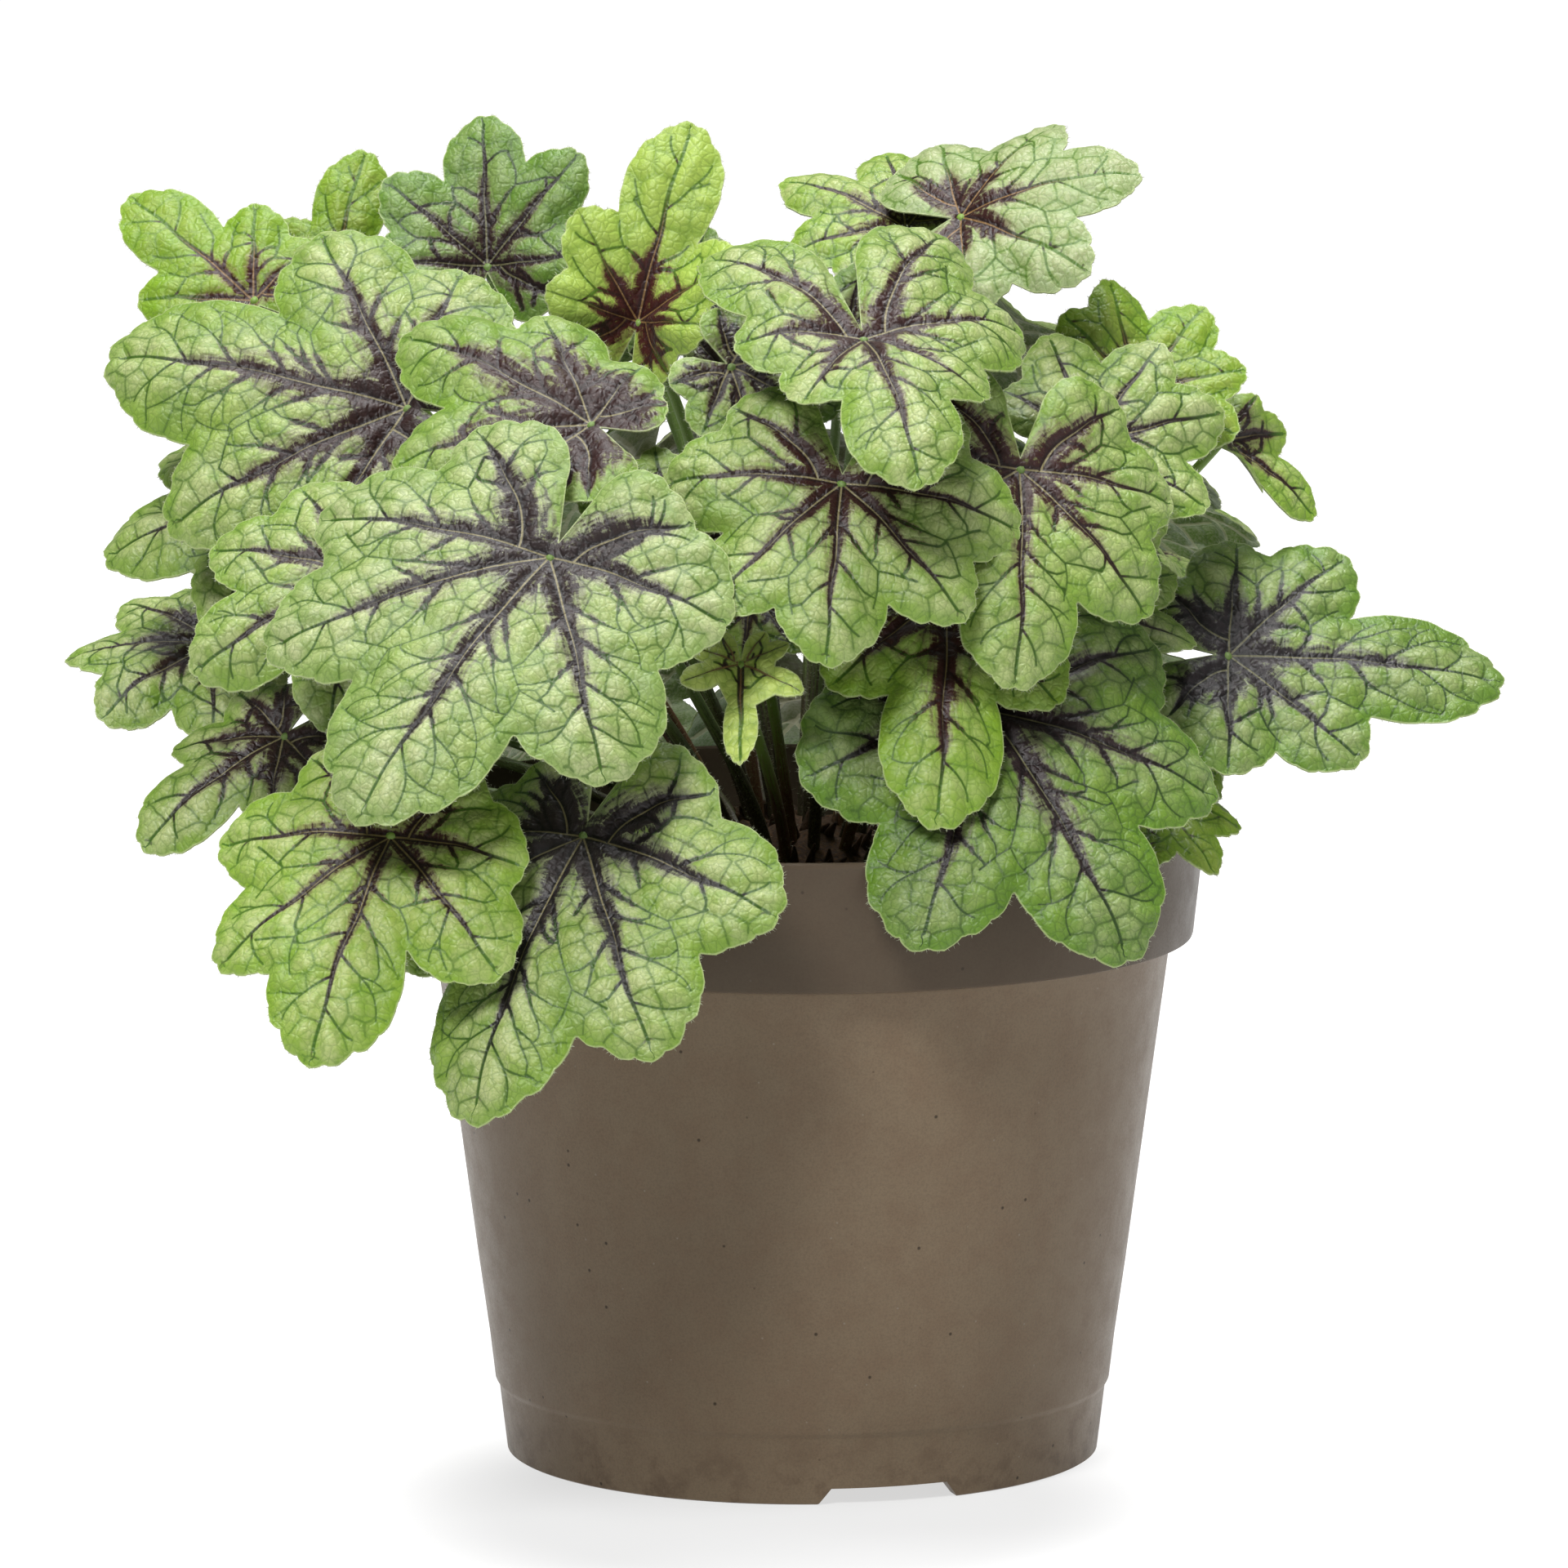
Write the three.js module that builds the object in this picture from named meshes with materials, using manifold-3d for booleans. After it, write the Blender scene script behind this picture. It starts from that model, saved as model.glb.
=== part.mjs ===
// Heuchera (coral bells) in a round nursery pot.
// Millimetres, +Z up. The pot stands on z = 0 and the bounding box is centred on the origin.
import * as THREE from "three";
import { mergeVertices } from "three/addons/utils/BufferGeometryUtils.js";
import Module from "manifold-3d";

const wasm = await Module();
wasm.setup();

// ---- driving dimensions -------------------------------------------------
const POT_HEIGHT = 121;
const RIM_RADIUS = 75;
const COLLAR_LOWER_RADIUS = 72.3;
const COLLAR_BOTTOM = 97;
const BODY_TOP_RADIUS = 68.2;
const BODY_BOTTOM_RADIUS = 57;
const FOOT_BAND_HEIGHT = 13.4;
const FOOT_TOP_RADIUS = 56.4;
const FOOT_RADIUS = 54.9;
const POT_WALL = 1.8;
const STEP_HEIGHT = 0.8; // height of the small slopes under the collar and over the foot band
const RIM_BEVEL = 0.5; // the rim's top edge is drawn in this much
const RIM_BEVEL_HEIGHT = 0.8;
const FLOOR_UNDERSIDE = 3.6;
const FLOOR_THICKNESS = 2;
const FLOOR_CORNER = 0.6; // the wall draws in this much where it meets the floor
const FOOT_RING_WIDTH = 4;
const FOOT_RING_DRAFT = 1; // the ring's inner side leans in this much
const POT_SEGMENTS = 40;

const NOTCH_COUNT = 3; // drainage notches in the foot ring
const NOTCH_FIRST_AZIMUTH = -73; // degrees
const NOTCH_WIDTH = 28;
const NOTCH_HEIGHT = 3;
const NOTCH_REACH = 8; // of its cutter, past both sides of the foot ring
const CUT_MARGIN = 1; // of a cutter, past the face that it opens
const DRAIN_COUNT = 8;
const DRAIN_RADIUS = 4;
const DRAIN_CIRCLE = 34;
const DRAIN_SIDES = 12;

const SEAT_GAP = 0.3; // between solids that rest on or in one another
const SOIL_EDGE_HEIGHT = 107;
const SOIL_EDGE_FLARE = 0.8; // over the soil's radius at the collar's bottom
const SOIL_CENTRE_HEIGHT = 109;
const SOIL_SHOULDER = 0.7; // of the soil's radius, where its top starts to fall to the edge
const SOIL_SHOULDER_LIFT = 1.2; // over the edge

const CROWN_RADIUS = 27;
const CROWN_HEIGHT = 9;
const CROWN_BED_DEPTH = 6;
const CROWN_ROUNDNESS = 0.7; // power of the crown's cosine profile, below 1 for full shoulders
const CROWN_RINGS = [1, 0.92, 0.75, 0.5, 0.25]; // of its radius
const CROWN_SEGMENTS = 24;
const STALK_RADIUS = 1.15;
const STALK_SIDES = 4;
const STALK_STEPS = 5;
const STALK_SOCKET_DEPTH = 4;
const STALK_SOCKET_SIDES = 6;
const STALK_SPACING = 5.2; // least distance between two stalk bases
const STALK_EDGE_MARGIN = 2; // from a stalk to the crown's edge
const STALK_CROWDING = 1.5; // power that draws the stalks of high leaves to the crown's middle
const SPREAD_ROUNDS = 200; // of pushing the stalk bases apart
const STALK_LEAN = 0.9; // how much a stalk rises before it leans out, and dips before its blade
const STALK_HANDLE = 0.3; // of its span, how far those two stretches reach

const BLADE_THICKNESS = 0.7;
const LOBE_LENGTH = 0.36; // half length of a lobe's ellipse, of its reach
const TOOTH_SPACING = 1.25; // from one tooth to the next round a lobe's ellipse, radians
const TOOTH_DEPTH = 0.03; // of the lobe's reach
const SMALL_BLADE = 33; // a blade up to this length has plain lobes
const INNER_RING = 0.52; // of the reach, where the blade bends
const NOTCH_RING = 0.62; // the same at a notch
const RUFFLE = 1.3; // height of the waves along a blade's edge
const RUFFLE_WAVES = [3, 5]; // round the blade, in two sets that run opposite ways
const LEAST_NOTCH = 0.3; // of the blade's length, how near the stalk a notch may come
const BASE_NOTCH = 0.1; // of the blade's length, the same for the open leaf base
const LOBE_SCALLOPS = [-1.3, -0.64, -0.3, 0.3, 0.64, 1.3]; // round a lobe's ellipse, radians
const SMALL_LOBE_SCALLOPS = [-1.2, -0.4, 0.4, 1.2];
const SCALLOP_ROUNDNESS = 0.8;
const LEAST_TURN = 0.02; // between two points of the outline, radians

// ---- leaf forms ----------------------------------------------------------
// Rounded lobes, from one side of the leaf base round the tip to the other side.
// angles: of the lobes, degrees from the middle one. reach: length of each lobe over the middle one.
// width: half width of each lobe, same unit.
const FORMS = {
  maple: {
    angles: [-126, -90, -46, 0, 46, 90, 126],
    reach: [0.56, 0.7, 0.87, 1, 0.87, 0.7, 0.56],
    width: [0.22, 0.25, 0.245, 0.26, 0.245, 0.25, 0.22],
  },
  leaningLeft: {
    angles: [-122, -76, -38, 0, 49, 96, 136],
    reach: [0.5, 0.68, 0.88, 1, 0.72, 0.56, 0.44],
    width: [0.2, 0.22, 0.22, 0.26, 0.23, 0.23, 0.2],
  },
  leaningRight: {
    angles: [-136, -96, -49, 0, 38, 76, 122],
    reach: [0.44, 0.56, 0.72, 1, 0.88, 0.68, 0.5],
    width: [0.2, 0.23, 0.23, 0.26, 0.22, 0.22, 0.2],
  },
  spreading: {
    angles: [-148, -100, -46, 0, 48, 94, 146],
    reach: [0.88, 0.6, 0.56, 1, 0.64, 0.86, 0.9],
    width: [0.26, 0.2, 0.2, 0.27, 0.23, 0.28, 0.27],
  },
  round: {
    angles: [-128, -86, -43, 0, 43, 86, 128],
    reach: [0.74, 0.88, 0.94, 1, 0.94, 0.88, 0.74],
    width: [0.26, 0.28, 0.26, 0.28, 0.26, 0.28, 0.26],
  },
  lopsided: {
    angles: [-126, -84, -40, 0, 40, 80, 122],
    reach: [0.34, 0.4, 0.7, 1, 0.82, 0.68, 0.46],
    width: [0.15, 0.18, 0.21, 0.25, 0.23, 0.23, 0.21],
  },
  long: {
    angles: [-130, -88, -44, 0, 44, 88, 130],
    reach: [0.38, 0.48, 0.62, 1, 0.62, 0.48, 0.38],
    width: [0.16, 0.18, 0.19, 0.24, 0.19, 0.18, 0.16],
  },
  young: {
    angles: [-148, -104, -60, 0, 60, 104, 148],
    reach: [0.38, 0.46, 0.62, 1, 0.62, 0.46, 0.38],
    width: [0.1, 0.11, 0.13, 0.15, 0.13, 0.11, 0.1],
  },
};
const ANGLE_WOBBLE = { turn: 4, frequency: 2.7 }; // degrees that a lobe turns off that of its form
const REACH_WOBBLE = { share: 0.05, frequency: 1.9 }; // of a lobe's reach

// Degrees. fold lifts both sides, and the bends curl the tip, the sides and the base downward.
const POSTURES = {
  flat: { fold: 6, tipBend: 12, sideBend: 14, baseBend: 10 },
  dome: { fold: 6, tipBend: 28, sideBend: 34, baseBend: 26 },
  drape: { fold: 8, tipBend: 48, sideBend: 46, baseBend: 30 },
  cup: { fold: 24, tipBend: 14, sideBend: 22, baseBend: 8 },
  keel: { fold: 46, tipBend: 22, sideBend: 34, baseBend: 12 },
};

// One row a leaf: age, form, posture, stalk's end [x, y, z], tip [x, y, z], the azimuth and elevation
// in degrees that the upper face looks to, and how far the stalk bows aside before the blade,
// where it does. Distances are from the pot's axis.
const FRONT_LEAVES = [
  ["mature", "leaningLeft", "dome", [-45, -74, 176], [-79, -105, 133], -97, 38],
  ["mature", "round", "dome", [7, -64, 188], [4, -85, 158], -88, 35, [0, 6, 0]],
  ["mature", "maple", "dome", [39, -51, 189], [38, -73, 152], -72, 30, [14, 10, 0]],
  ["mature", "spreading", "drape", [11, -56, 213], [21, -87, 190], -80, 55],
  ["light", "leaningLeft", "dome", [-73, -89, 128], [-87, -113, 91], -102, 32, [-6, 0, 8]],
  ["mature", "lopsided", "dome", [-39, -82, 127], [-59, -110, 80], -114, 30, [0, 0, 6]],
  ["old", "maple", "dome", [33, -56, 146], [59, -80, 104], -75, 35],
  ["light", "long", "dome", [26, -51, 166], [24, -80, 128], -83, 30, [4, 0, 0]],
  ["young", "young", "cup", [-11, -68, 156], [-11, -82, 140], -90, 45],
  ["old", "long", "flat", [78, -20, 151], [129, -15, 146], -80, 40],
  ["light", "long", "keel", [77, 0, 188], [95, 1, 174], -45, 40],
  ["young", "maple", "dome", [29, -5, 230], [62, -7, 239], -110, 50, [8, 16, 0]],
  ["young", "round", "cup", [61, -10, 198], [74, 3, 213], -80, 35],
  ["mature", "round", "flat", [52, -29, 191], [77, -21, 196], -80, 35, [-10, -4, 0]],
  ["old", "maple", "cup", [-58, 5, 220], [-59, 18, 247], -95, 25, [-4, -6, 0]],
  ["mature", "leaningRight", "dome", [-72, -24, 197], [-128, -9, 205], -100, 35],
  ["young", "long", "flat", [-101, 1, 214], [-125, 18, 232], -100, 35, [8, 12, 4]],
  ["mature", "lopsided", "dome", [-38, -50, 197], [-73, -30, 211], -95, 50],
  ["young", "long", "keel", [-30, -17, 212], [-20, -9, 248], -100, 15, [6, 0, 0]],
  ["mature", "maple", "dome", [-89, -5, 178], [-129, -4, 167], -110, 50],
  ["mature", "maple", "dome", [-79, -51, 170], [-110, -58, 153], -100, 35],
  ["mature", "round", "dome", [-109, 10, 149], [-137, 11, 146], -100, 60],
  ["mature", "long", "dome", [-95, -20, 136], [-121, -30, 117], -110, 45],
  ["light", "maple", "dome", [19, 5, 227], [-4, 17, 235], -90, 55],
  ["old", "round", "flat", [7, -23, 207], [-2, -19, 223], -90, 20],
  ["old", "maple", "flat", [-22, 2, 209], [-18, 11, 227], -90, 25],
  ["mature", "round", "flat", [-13, -36, 206], [2, -38, 198], -95, 40],
  ["young", "round", "flat", [62, -36, 129], [75, -47, 115], -50, 40],
  ["mature", "round", "flat", [-24, -56, 176], [-40, -52, 188], -95, 35, [-14, 4, 0]],
  ["light", "round", "flat", [-9, -45, 166], [-11, -54, 153], -95, 35],
  ["mature", "round", "flat", [50, -24, 160], [72, -26, 154], -80, 50],
  ["young", "long", "flat", [-88, 12, 213], [-81, 22, 240], -95, 30, [8, -14, 0]],
  ["mature", "maple", "dome", [58, 28, 166], [83, 43, 151], 30, 48],
];

// The rest of the mound, in tiers: stalk ends on a circle, blades that look outward and droop,
// each turned a little so that it laps over the next.
const TIERS = [
  { count: 4, radius: 88, height: 132, size: 44, from: 58, to: 146, lookUp: 38, droop: 48 },
  { count: 4, radius: 80, height: 174, size: 44, from: 50, to: 142, lookUp: 48, droop: 32 },
  { count: 3, radius: 46, height: 206, size: 34, from: 42, to: 135, lookUp: 50, droop: 34 },
];
const LAP_TURN = 20;
const TIER_WOBBLE = { frequency: 5, rise: 3, turn: 10, growth: 0.08 }; // so that no two are alike
const PHASE_STEP = 2.4; // from one leaf's ruffle to the next one's, radians

// ---- small helpers --------------------------------------------------------
const radians = THREE.MathUtils.degToRad;

/** A closed manifold solid from a three.js geometry. */
function toSolid(geometry) {
  const bare = geometry.clone();
  bare.deleteAttribute("normal");
  bare.deleteAttribute("uv");
  const merged = mergeVertices(bare, 1e-4);
  const mesh = new wasm.Mesh({
    numProp: 3,
    vertProperties: new Float32Array(merged.attributes.position.array),
    triVerts: new Uint32Array(merged.index.array),
  });
  return new wasm.Manifold(mesh);
}

/** A three.js geometry from a manifold solid. */
function toGeometry(solid) {
  const mesh = solid.getMesh();
  const geometry = new THREE.BufferGeometry();
  geometry.setAttribute("position", new THREE.BufferAttribute(mesh.vertProperties, 3));
  geometry.setIndex(new THREE.BufferAttribute(mesh.triVerts, 1));
  geometry.computeVertexNormals();
  return geometry;
}

/** A turned solid: profile points are [radius, height] pairs round the Z axis. */
function turned(profile, segments) {
  const points = profile.map(([radius, height]) => new THREE.Vector2(radius, height));
  return toSolid(new THREE.LatheGeometry(points, segments).rotateX(Math.PI / 2));
}

/** Unit vector from an azimuth and an elevation in degrees. */
function direction(azimuth, elevation) {
  const level = Math.cos(radians(elevation));
  return new THREE.Vector3(
    level * Math.cos(radians(azimuth)),
    level * Math.sin(radians(azimuth)),
    Math.sin(radians(elevation)),
  );
}

// ---- pot and soil ---------------------------------------------------------
/** Radius of the pot's outside over the foot band, at one height. */
function bodyRadius(height) {
  const share = (height - FOOT_BAND_HEIGHT) / (COLLAR_BOTTOM - FOOT_BAND_HEIGHT);
  return THREE.MathUtils.lerp(BODY_BOTTOM_RADIUS, BODY_TOP_RADIUS, share);
}

/** The pot's inner wall, bottom to top, moved inward by a clearance. */
function innerWall(clearance) {
  const floorTop = FLOOR_UNDERSIDE + FLOOR_THICKNESS + clearance;
  const inset = POT_WALL + clearance;
  return [
    [FOOT_TOP_RADIUS - inset - FLOOR_CORNER, floorTop],
    [bodyRadius(FOOT_BAND_HEIGHT) - inset, FOOT_BAND_HEIGHT],
    [BODY_TOP_RADIUS - inset, COLLAR_BOTTOM + clearance],
    [COLLAR_LOWER_RADIUS - inset, COLLAR_BOTTOM + POT_WALL + clearance],
    [RIM_RADIUS - inset, POT_HEIGHT],
  ];
}

function potBlank() {
  const outside = [
    [0, FLOOR_UNDERSIDE],
    [FOOT_RADIUS - FOOT_RING_WIDTH - FOOT_RING_DRAFT, FLOOR_UNDERSIDE],
    [FOOT_RADIUS - FOOT_RING_WIDTH, 0],
    [FOOT_RADIUS, 0],
    [FOOT_TOP_RADIUS, FOOT_BAND_HEIGHT - STEP_HEIGHT],
    [BODY_BOTTOM_RADIUS, FOOT_BAND_HEIGHT],
    [BODY_TOP_RADIUS, COLLAR_BOTTOM - STEP_HEIGHT],
    [COLLAR_LOWER_RADIUS, COLLAR_BOTTOM],
    [RIM_RADIUS, POT_HEIGHT - RIM_BEVEL_HEIGHT],
    [RIM_RADIUS - RIM_BEVEL, POT_HEIGHT],
  ];
  const inside = innerWall(0).reverse();
  return turned([...outside, ...inside, [0, FLOOR_UNDERSIDE + FLOOR_THICKNESS]], POT_SEGMENTS);
}

/** A wedge that cuts one drainage notch through the foot ring. */
function notchCutter(azimuth) {
  const half = NOTCH_WIDTH / 2;
  const outline = new THREE.Shape();
  outline.moveTo(-half, -CUT_MARGIN);
  outline.lineTo(half, -CUT_MARGIN);
  outline.lineTo(half - NOTCH_HEIGHT, NOTCH_HEIGHT);
  outline.lineTo(-half + NOTCH_HEIGHT, NOTCH_HEIGHT);
  const depth = FOOT_RING_WIDTH + 2 * NOTCH_REACH;
  const cutter = new THREE.ExtrudeGeometry(outline, { depth, bevelEnabled: false });
  cutter.rotateX(Math.PI / 2);
  cutter.translate(0, -(FOOT_RADIUS - FOOT_RING_WIDTH - NOTCH_REACH), 0);
  cutter.rotateZ(radians(azimuth + 90));
  return toSolid(cutter);
}

function drainCutter(azimuth) {
  const length = FLOOR_THICKNESS + 2 * CUT_MARGIN;
  const cutter = new THREE.CylinderGeometry(DRAIN_RADIUS, DRAIN_RADIUS, length, DRAIN_SIDES);
  cutter.rotateX(Math.PI / 2);
  const centre = direction(azimuth, 0).multiplyScalar(DRAIN_CIRCLE);
  cutter.translate(centre.x, centre.y, FLOOR_UNDERSIDE + FLOOR_THICKNESS / 2);
  return toSolid(cutter);
}

function potGeometry() {
  let pot = potBlank();
  for (let i = 0; i < NOTCH_COUNT; i += 1) {
    pot = pot.subtract(notchCutter(NOTCH_FIRST_AZIMUTH + (i * 360) / NOTCH_COUNT));
  }
  for (let i = 0; i < DRAIN_COUNT; i += 1) {
    pot = pot.subtract(drainCutter((i * 360) / DRAIN_COUNT));
  }
  return toGeometry(pot);
}

function soilGeometry() {
  const wall = innerWall(SEAT_GAP).slice(0, 4);
  const bedRadius = CROWN_RADIUS + SEAT_GAP;
  const bedFloor = SOIL_CENTRE_HEIGHT - CROWN_BED_DEPTH;
  const edge = wall[3][0] + SOIL_EDGE_FLARE;
  return toGeometry(turned([
    [0, wall[0][1]],
    ...wall,
    [edge, SOIL_EDGE_HEIGHT],
    [edge * SOIL_SHOULDER, SOIL_EDGE_HEIGHT + SOIL_SHOULDER_LIFT],
    [bedRadius, SOIL_CENTRE_HEIGHT],
    [bedRadius, bedFloor],
    [0, bedFloor],
  ], POT_SEGMENTS));
}

// ---- crown ----------------------------------------------------------------
/** Height of the crown's rounded top at a distance from the axis. */
function crownTop(radius) {
  const profile = Math.cos((radius / CROWN_RADIUS) * (Math.PI / 2)) ** CROWN_ROUNDNESS;
  return SOIL_CENTRE_HEIGHT + CROWN_HEIGHT * profile;
}

/**
 * Where each stalk leaves the crown: towards its blade, low blades from the outside and high ones
 * from the middle, pushed apart until they keep STALK_SPACING.
 */
function stalkBases(leaves) {
  const reach = CROWN_RADIUS - STALK_RADIUS - STALK_EDGE_MARGIN;
  const bases = leaves.map(({ junction }) => {
    const level = Math.hypot(junction.x, junction.y);
    const share = level / Math.hypot(level, junction.z - SOIL_CENTRE_HEIGHT);
    return new THREE.Vector2(junction.x, junction.y).setLength(reach * share ** STALK_CROWDING);
  });
  for (let round = 0; round < SPREAD_ROUNDS; round += 1) {
    for (let i = 0; i < bases.length; i += 1) {
      for (let k = i + 1; k < bases.length; k += 1) {
        const apart = bases[i].clone().sub(bases[k]);
        const lack = STALK_SPACING - apart.length();
        if (lack > 0) {
          apart.setLength(lack / 2);
          bases[i].add(apart);
          bases[k].sub(apart);
        }
      }
      bases[i].clampLength(0, reach);
    }
  }
  return bases.map(({ x, y }) => new THREE.Vector3(x, y, crownTop(Math.hypot(x, y))));
}

/** Cuts one stalk's socket into the crown, along the stalk's first stretch. */
function socketCutter(leaf) {
  const [foot, next] = stalkPoints(leaf);
  const radius = STALK_RADIUS + SEAT_GAP;
  const reach = CROWN_HEIGHT + 2 * STALK_SOCKET_DEPTH;
  const cutter = new THREE.CylinderGeometry(radius, radius, reach, STALK_SOCKET_SIDES);
  cutter.translate(0, reach / 2 - SEAT_GAP, 0);
  const along = next.clone().sub(foot).normalize();
  cutter.applyQuaternion(new THREE.Quaternion().setFromUnitVectors(new THREE.Vector3(0, 1, 0), along));
  cutter.translate(...foot.toArray());
  return toSolid(cutter);
}

function crownGeometry(leaves) {
  const floor = SOIL_CENTRE_HEIGHT - CROWN_BED_DEPTH + SEAT_GAP;
  const top = CROWN_RINGS.map((share) => [CROWN_RADIUS * share, crownTop(CROWN_RADIUS * share)]);
  const profile = [[0, floor], [CROWN_RADIUS, floor], ...top, [0, crownTop(0)]];
  let crown = turned(profile, CROWN_SEGMENTS);
  for (const leaf of leaves) {
    crown = crown.subtract(socketCutter(leaf));
  }
  return toGeometry(crown);
}

// ---- leaves ---------------------------------------------------------------
/** Point of one lobe's ellipse at parameter phi, as an angle and a distance from the stalk. */
function lobePoint(form, lobe, phi) {
  const reach = form.reach[lobe];
  const length = reach * LOBE_LENGTH;
  const along = reach - length + length * Math.cos(phi);
  const across = form.width[lobe] * Math.sin(phi);
  const crest = Math.abs(Math.cos((Math.PI * phi) / TOOTH_SPACING)) ** SCALLOP_ROUNDNESS;
  return {
    angle: radians(form.angles[lobe]) + Math.atan2(across, along),
    distance: Math.hypot(along, across) * (1 - TOOTH_DEPTH * (1 - crest)),
  };
}

/** How far a lobe's ellipse reaches from the stalk at an angle, or 0 where it is missed. */
function lobeReach(form, lobe, angle) {
  const offset = angle - radians(form.angles[lobe]);
  const length = form.reach[lobe] * LOBE_LENGTH;
  const centre = form.reach[lobe] - length;
  const u = Math.cos(offset) / length;
  const v = Math.sin(offset) / form.width[lobe];
  const a = u * u + v * v;
  const b = (u * centre) / length;
  const root = b * b - a * ((centre / length) ** 2 - 1);
  return root < 0 || Math.cos(offset) < 0 ? 0 : (b + Math.sqrt(root)) / a;
}

/** The notch between a lobe and the next one, where their outlines cross. */
function sinus(form, lobe) {
  let low = radians(form.angles[lobe]);
  let high = radians(form.angles[lobe + 1]);
  for (let i = 0; i < 30; i += 1) {
    const middle = (low + high) / 2;
    if (lobeReach(form, lobe, middle) > lobeReach(form, lobe + 1, middle)) {
      low = middle;
    } else {
      high = middle;
    }
  }
  return { angle: low, distance: Math.max(lobeReach(form, lobe, low), LEAST_NOTCH) };
}

/** The leaf's outline: scalloped lobes with a notch between each two, and the open leaf base. */
function leafOutline(form, size) {
  const scallops = size > SMALL_BLADE ? LOBE_SCALLOPS : SMALL_LOBE_SCALLOPS;
  const outline = [];
  form.angles.forEach((_, lobe) => {
    const first = outline.length ? outline[outline.length - 1].angle : -Math.PI;
    const next = lobe < form.angles.length - 1 ? sinus(form, lobe) : { angle: Math.PI };
    for (const phi of scallops) {
      const point = lobePoint(form, lobe, phi);
      if (point.angle > first + LEAST_TURN && point.angle < next.angle - LEAST_TURN) {
        outline.push(point);
      }
    }
    if (next.distance) {
      outline.push(next);
    }
  });
  outline.push({ angle: Math.PI, distance: BASE_NOTCH });
  return outline;
}

/**
 * A blade's surface in its own axes: x to the tip, y to the side, z up from the upper face.
 * Each ray from the stalk starts at one slope and bends steadily to another.
 */
function bladePoint(leaf, angle, distance, lift) {
  const { fold, tipBend, sideBend, baseBend } = leaf.posture;
  const cos = Math.cos(angle);
  const side = Math.sin(angle) ** 2;
  const tip = cos > 0 ? cos * cos : 0;
  const base = cos < 0 ? cos * cos : 0;
  const start = radians(fold * side + (tipBend / 2) * tip + (baseBend / 2) * base);
  const bend = radians(tipBend * tip + sideBend * side + baseBend * base);
  const curve = bend / leaf.size;
  const slope = start - curve * distance;
  const out = (Math.sin(start) - Math.sin(slope)) / curve;
  const edge = (distance / leaf.size) ** 2;
  const [few, many] = RUFFLE_WAVES;
  const waves = Math.sin(few * angle + leaf.phase) + Math.sin(many * angle - leaf.phase);
  const up = (Math.cos(slope) - Math.cos(start)) / curve + RUFFLE * edge * waves;
  return new THREE.Vector3(
    (out - lift * Math.sin(slope)) * cos,
    (out - lift * Math.sin(slope)) * Math.sin(angle),
    up + lift * Math.cos(slope),
  );
}

/** The matrix that places a blade: x to its tip, z the way its upper face looks. */
function bladeFrame(leaf) {
  const along = leaf.tip.clone().sub(leaf.junction).normalize();
  const up = leaf.facing.clone().addScaledVector(along, -leaf.facing.dot(along)).normalize();
  const across = new THREE.Vector3().crossVectors(up, along);
  return new THREE.Matrix4().makeBasis(along, across, up).setPosition(leaf.junction);
}

/** Where the inner ring of a blade's points lies: on each main vein, at each notch and at the base. */
function innerSpokes(form) {
  const spokes = [];
  form.angles.forEach((angle, lobe) => {
    spokes.push({ angle: radians(angle), distance: form.reach[lobe] * INNER_RING });
    if (lobe < form.angles.length - 1) {
      const notch = sinus(form, lobe);
      spokes.push({ angle: notch.angle, distance: notch.distance * NOTCH_RING });
    }
  });
  spokes.push({ angle: Math.PI, distance: BASE_NOTCH / 2 });
  return spokes;
}

/** Triangles [a, b, c] of the band between two rings of points, both sorted by angle. */
function bandTriangles(inner, outer) {
  const triangles = [];
  const angleAt = (ring, i) => ring[i % ring.length].angle + (i < ring.length ? 0 : 2 * Math.PI);
  let i = 0;
  let k = 0;
  while (i < inner.length || k < outer.length) {
    const outerNext = k < outer.length && angleAt(outer, k + 1) <= angleAt(inner, i + 1);
    const from = [["inner", i % inner.length], ["outer", k % outer.length]];
    if (outerNext || i === inner.length) {
      k += 1;
      triangles.push([...from, ["outer", k % outer.length]]);
    } else {
      i += 1;
      triangles.push([...from, ["inner", i % inner.length]]);
    }
  }
  return triangles;
}

/** A thin closed blade: both faces split alike, with one ring of points inside the outline. */
function bladeSolid(leaf) {
  const outline = leafOutline(leaf.form, leaf.size);
  const spokes = innerSpokes(leaf.form);
  const band = bandTriangles(spokes, outline);
  const positions = [];
  const indices = [];
  const put = ({ angle, distance }, lift) => {
    positions.push(...bladePoint(leaf, angle, distance * leaf.size, lift).toArray());
    return positions.length / 3 - 1;
  };
  const faces = [BLADE_THICKNESS / 2, -BLADE_THICKNESS / 2].map((lift) => ({
    centre: put({ angle: 0, distance: 0 }, lift),
    inner: spokes.map((point) => put(point, lift)),
    outer: outline.map((point) => put(point, lift)),
  }));
  faces.forEach((face, underside) => {
    const triangles = band.map((corners) => corners.map(([ring, i]) => face[ring][i]));
    face.inner.forEach((point, i) => {
      triangles.push([face.centre, point, face.inner[(i + 1) % face.inner.length]]);
    });
    for (const triangle of triangles) {
      indices.push(...(underside ? triangle.reverse() : triangle));
    }
  });
  const [upper, lower] = faces;
  outline.forEach((_, i) => {
    const next = (i + 1) % outline.length;
    indices.push(lower.outer[i], lower.outer[next], upper.outer[next]);
    indices.push(lower.outer[i], upper.outer[next], upper.outer[i]);
  });
  const geometry = new THREE.BufferGeometry();
  geometry.setAttribute("position", new THREE.Float32BufferAttribute(positions, 3));
  geometry.setIndex(indices);
  return toSolid(geometry.applyMatrix4(bladeFrame(leaf)));
}

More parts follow.
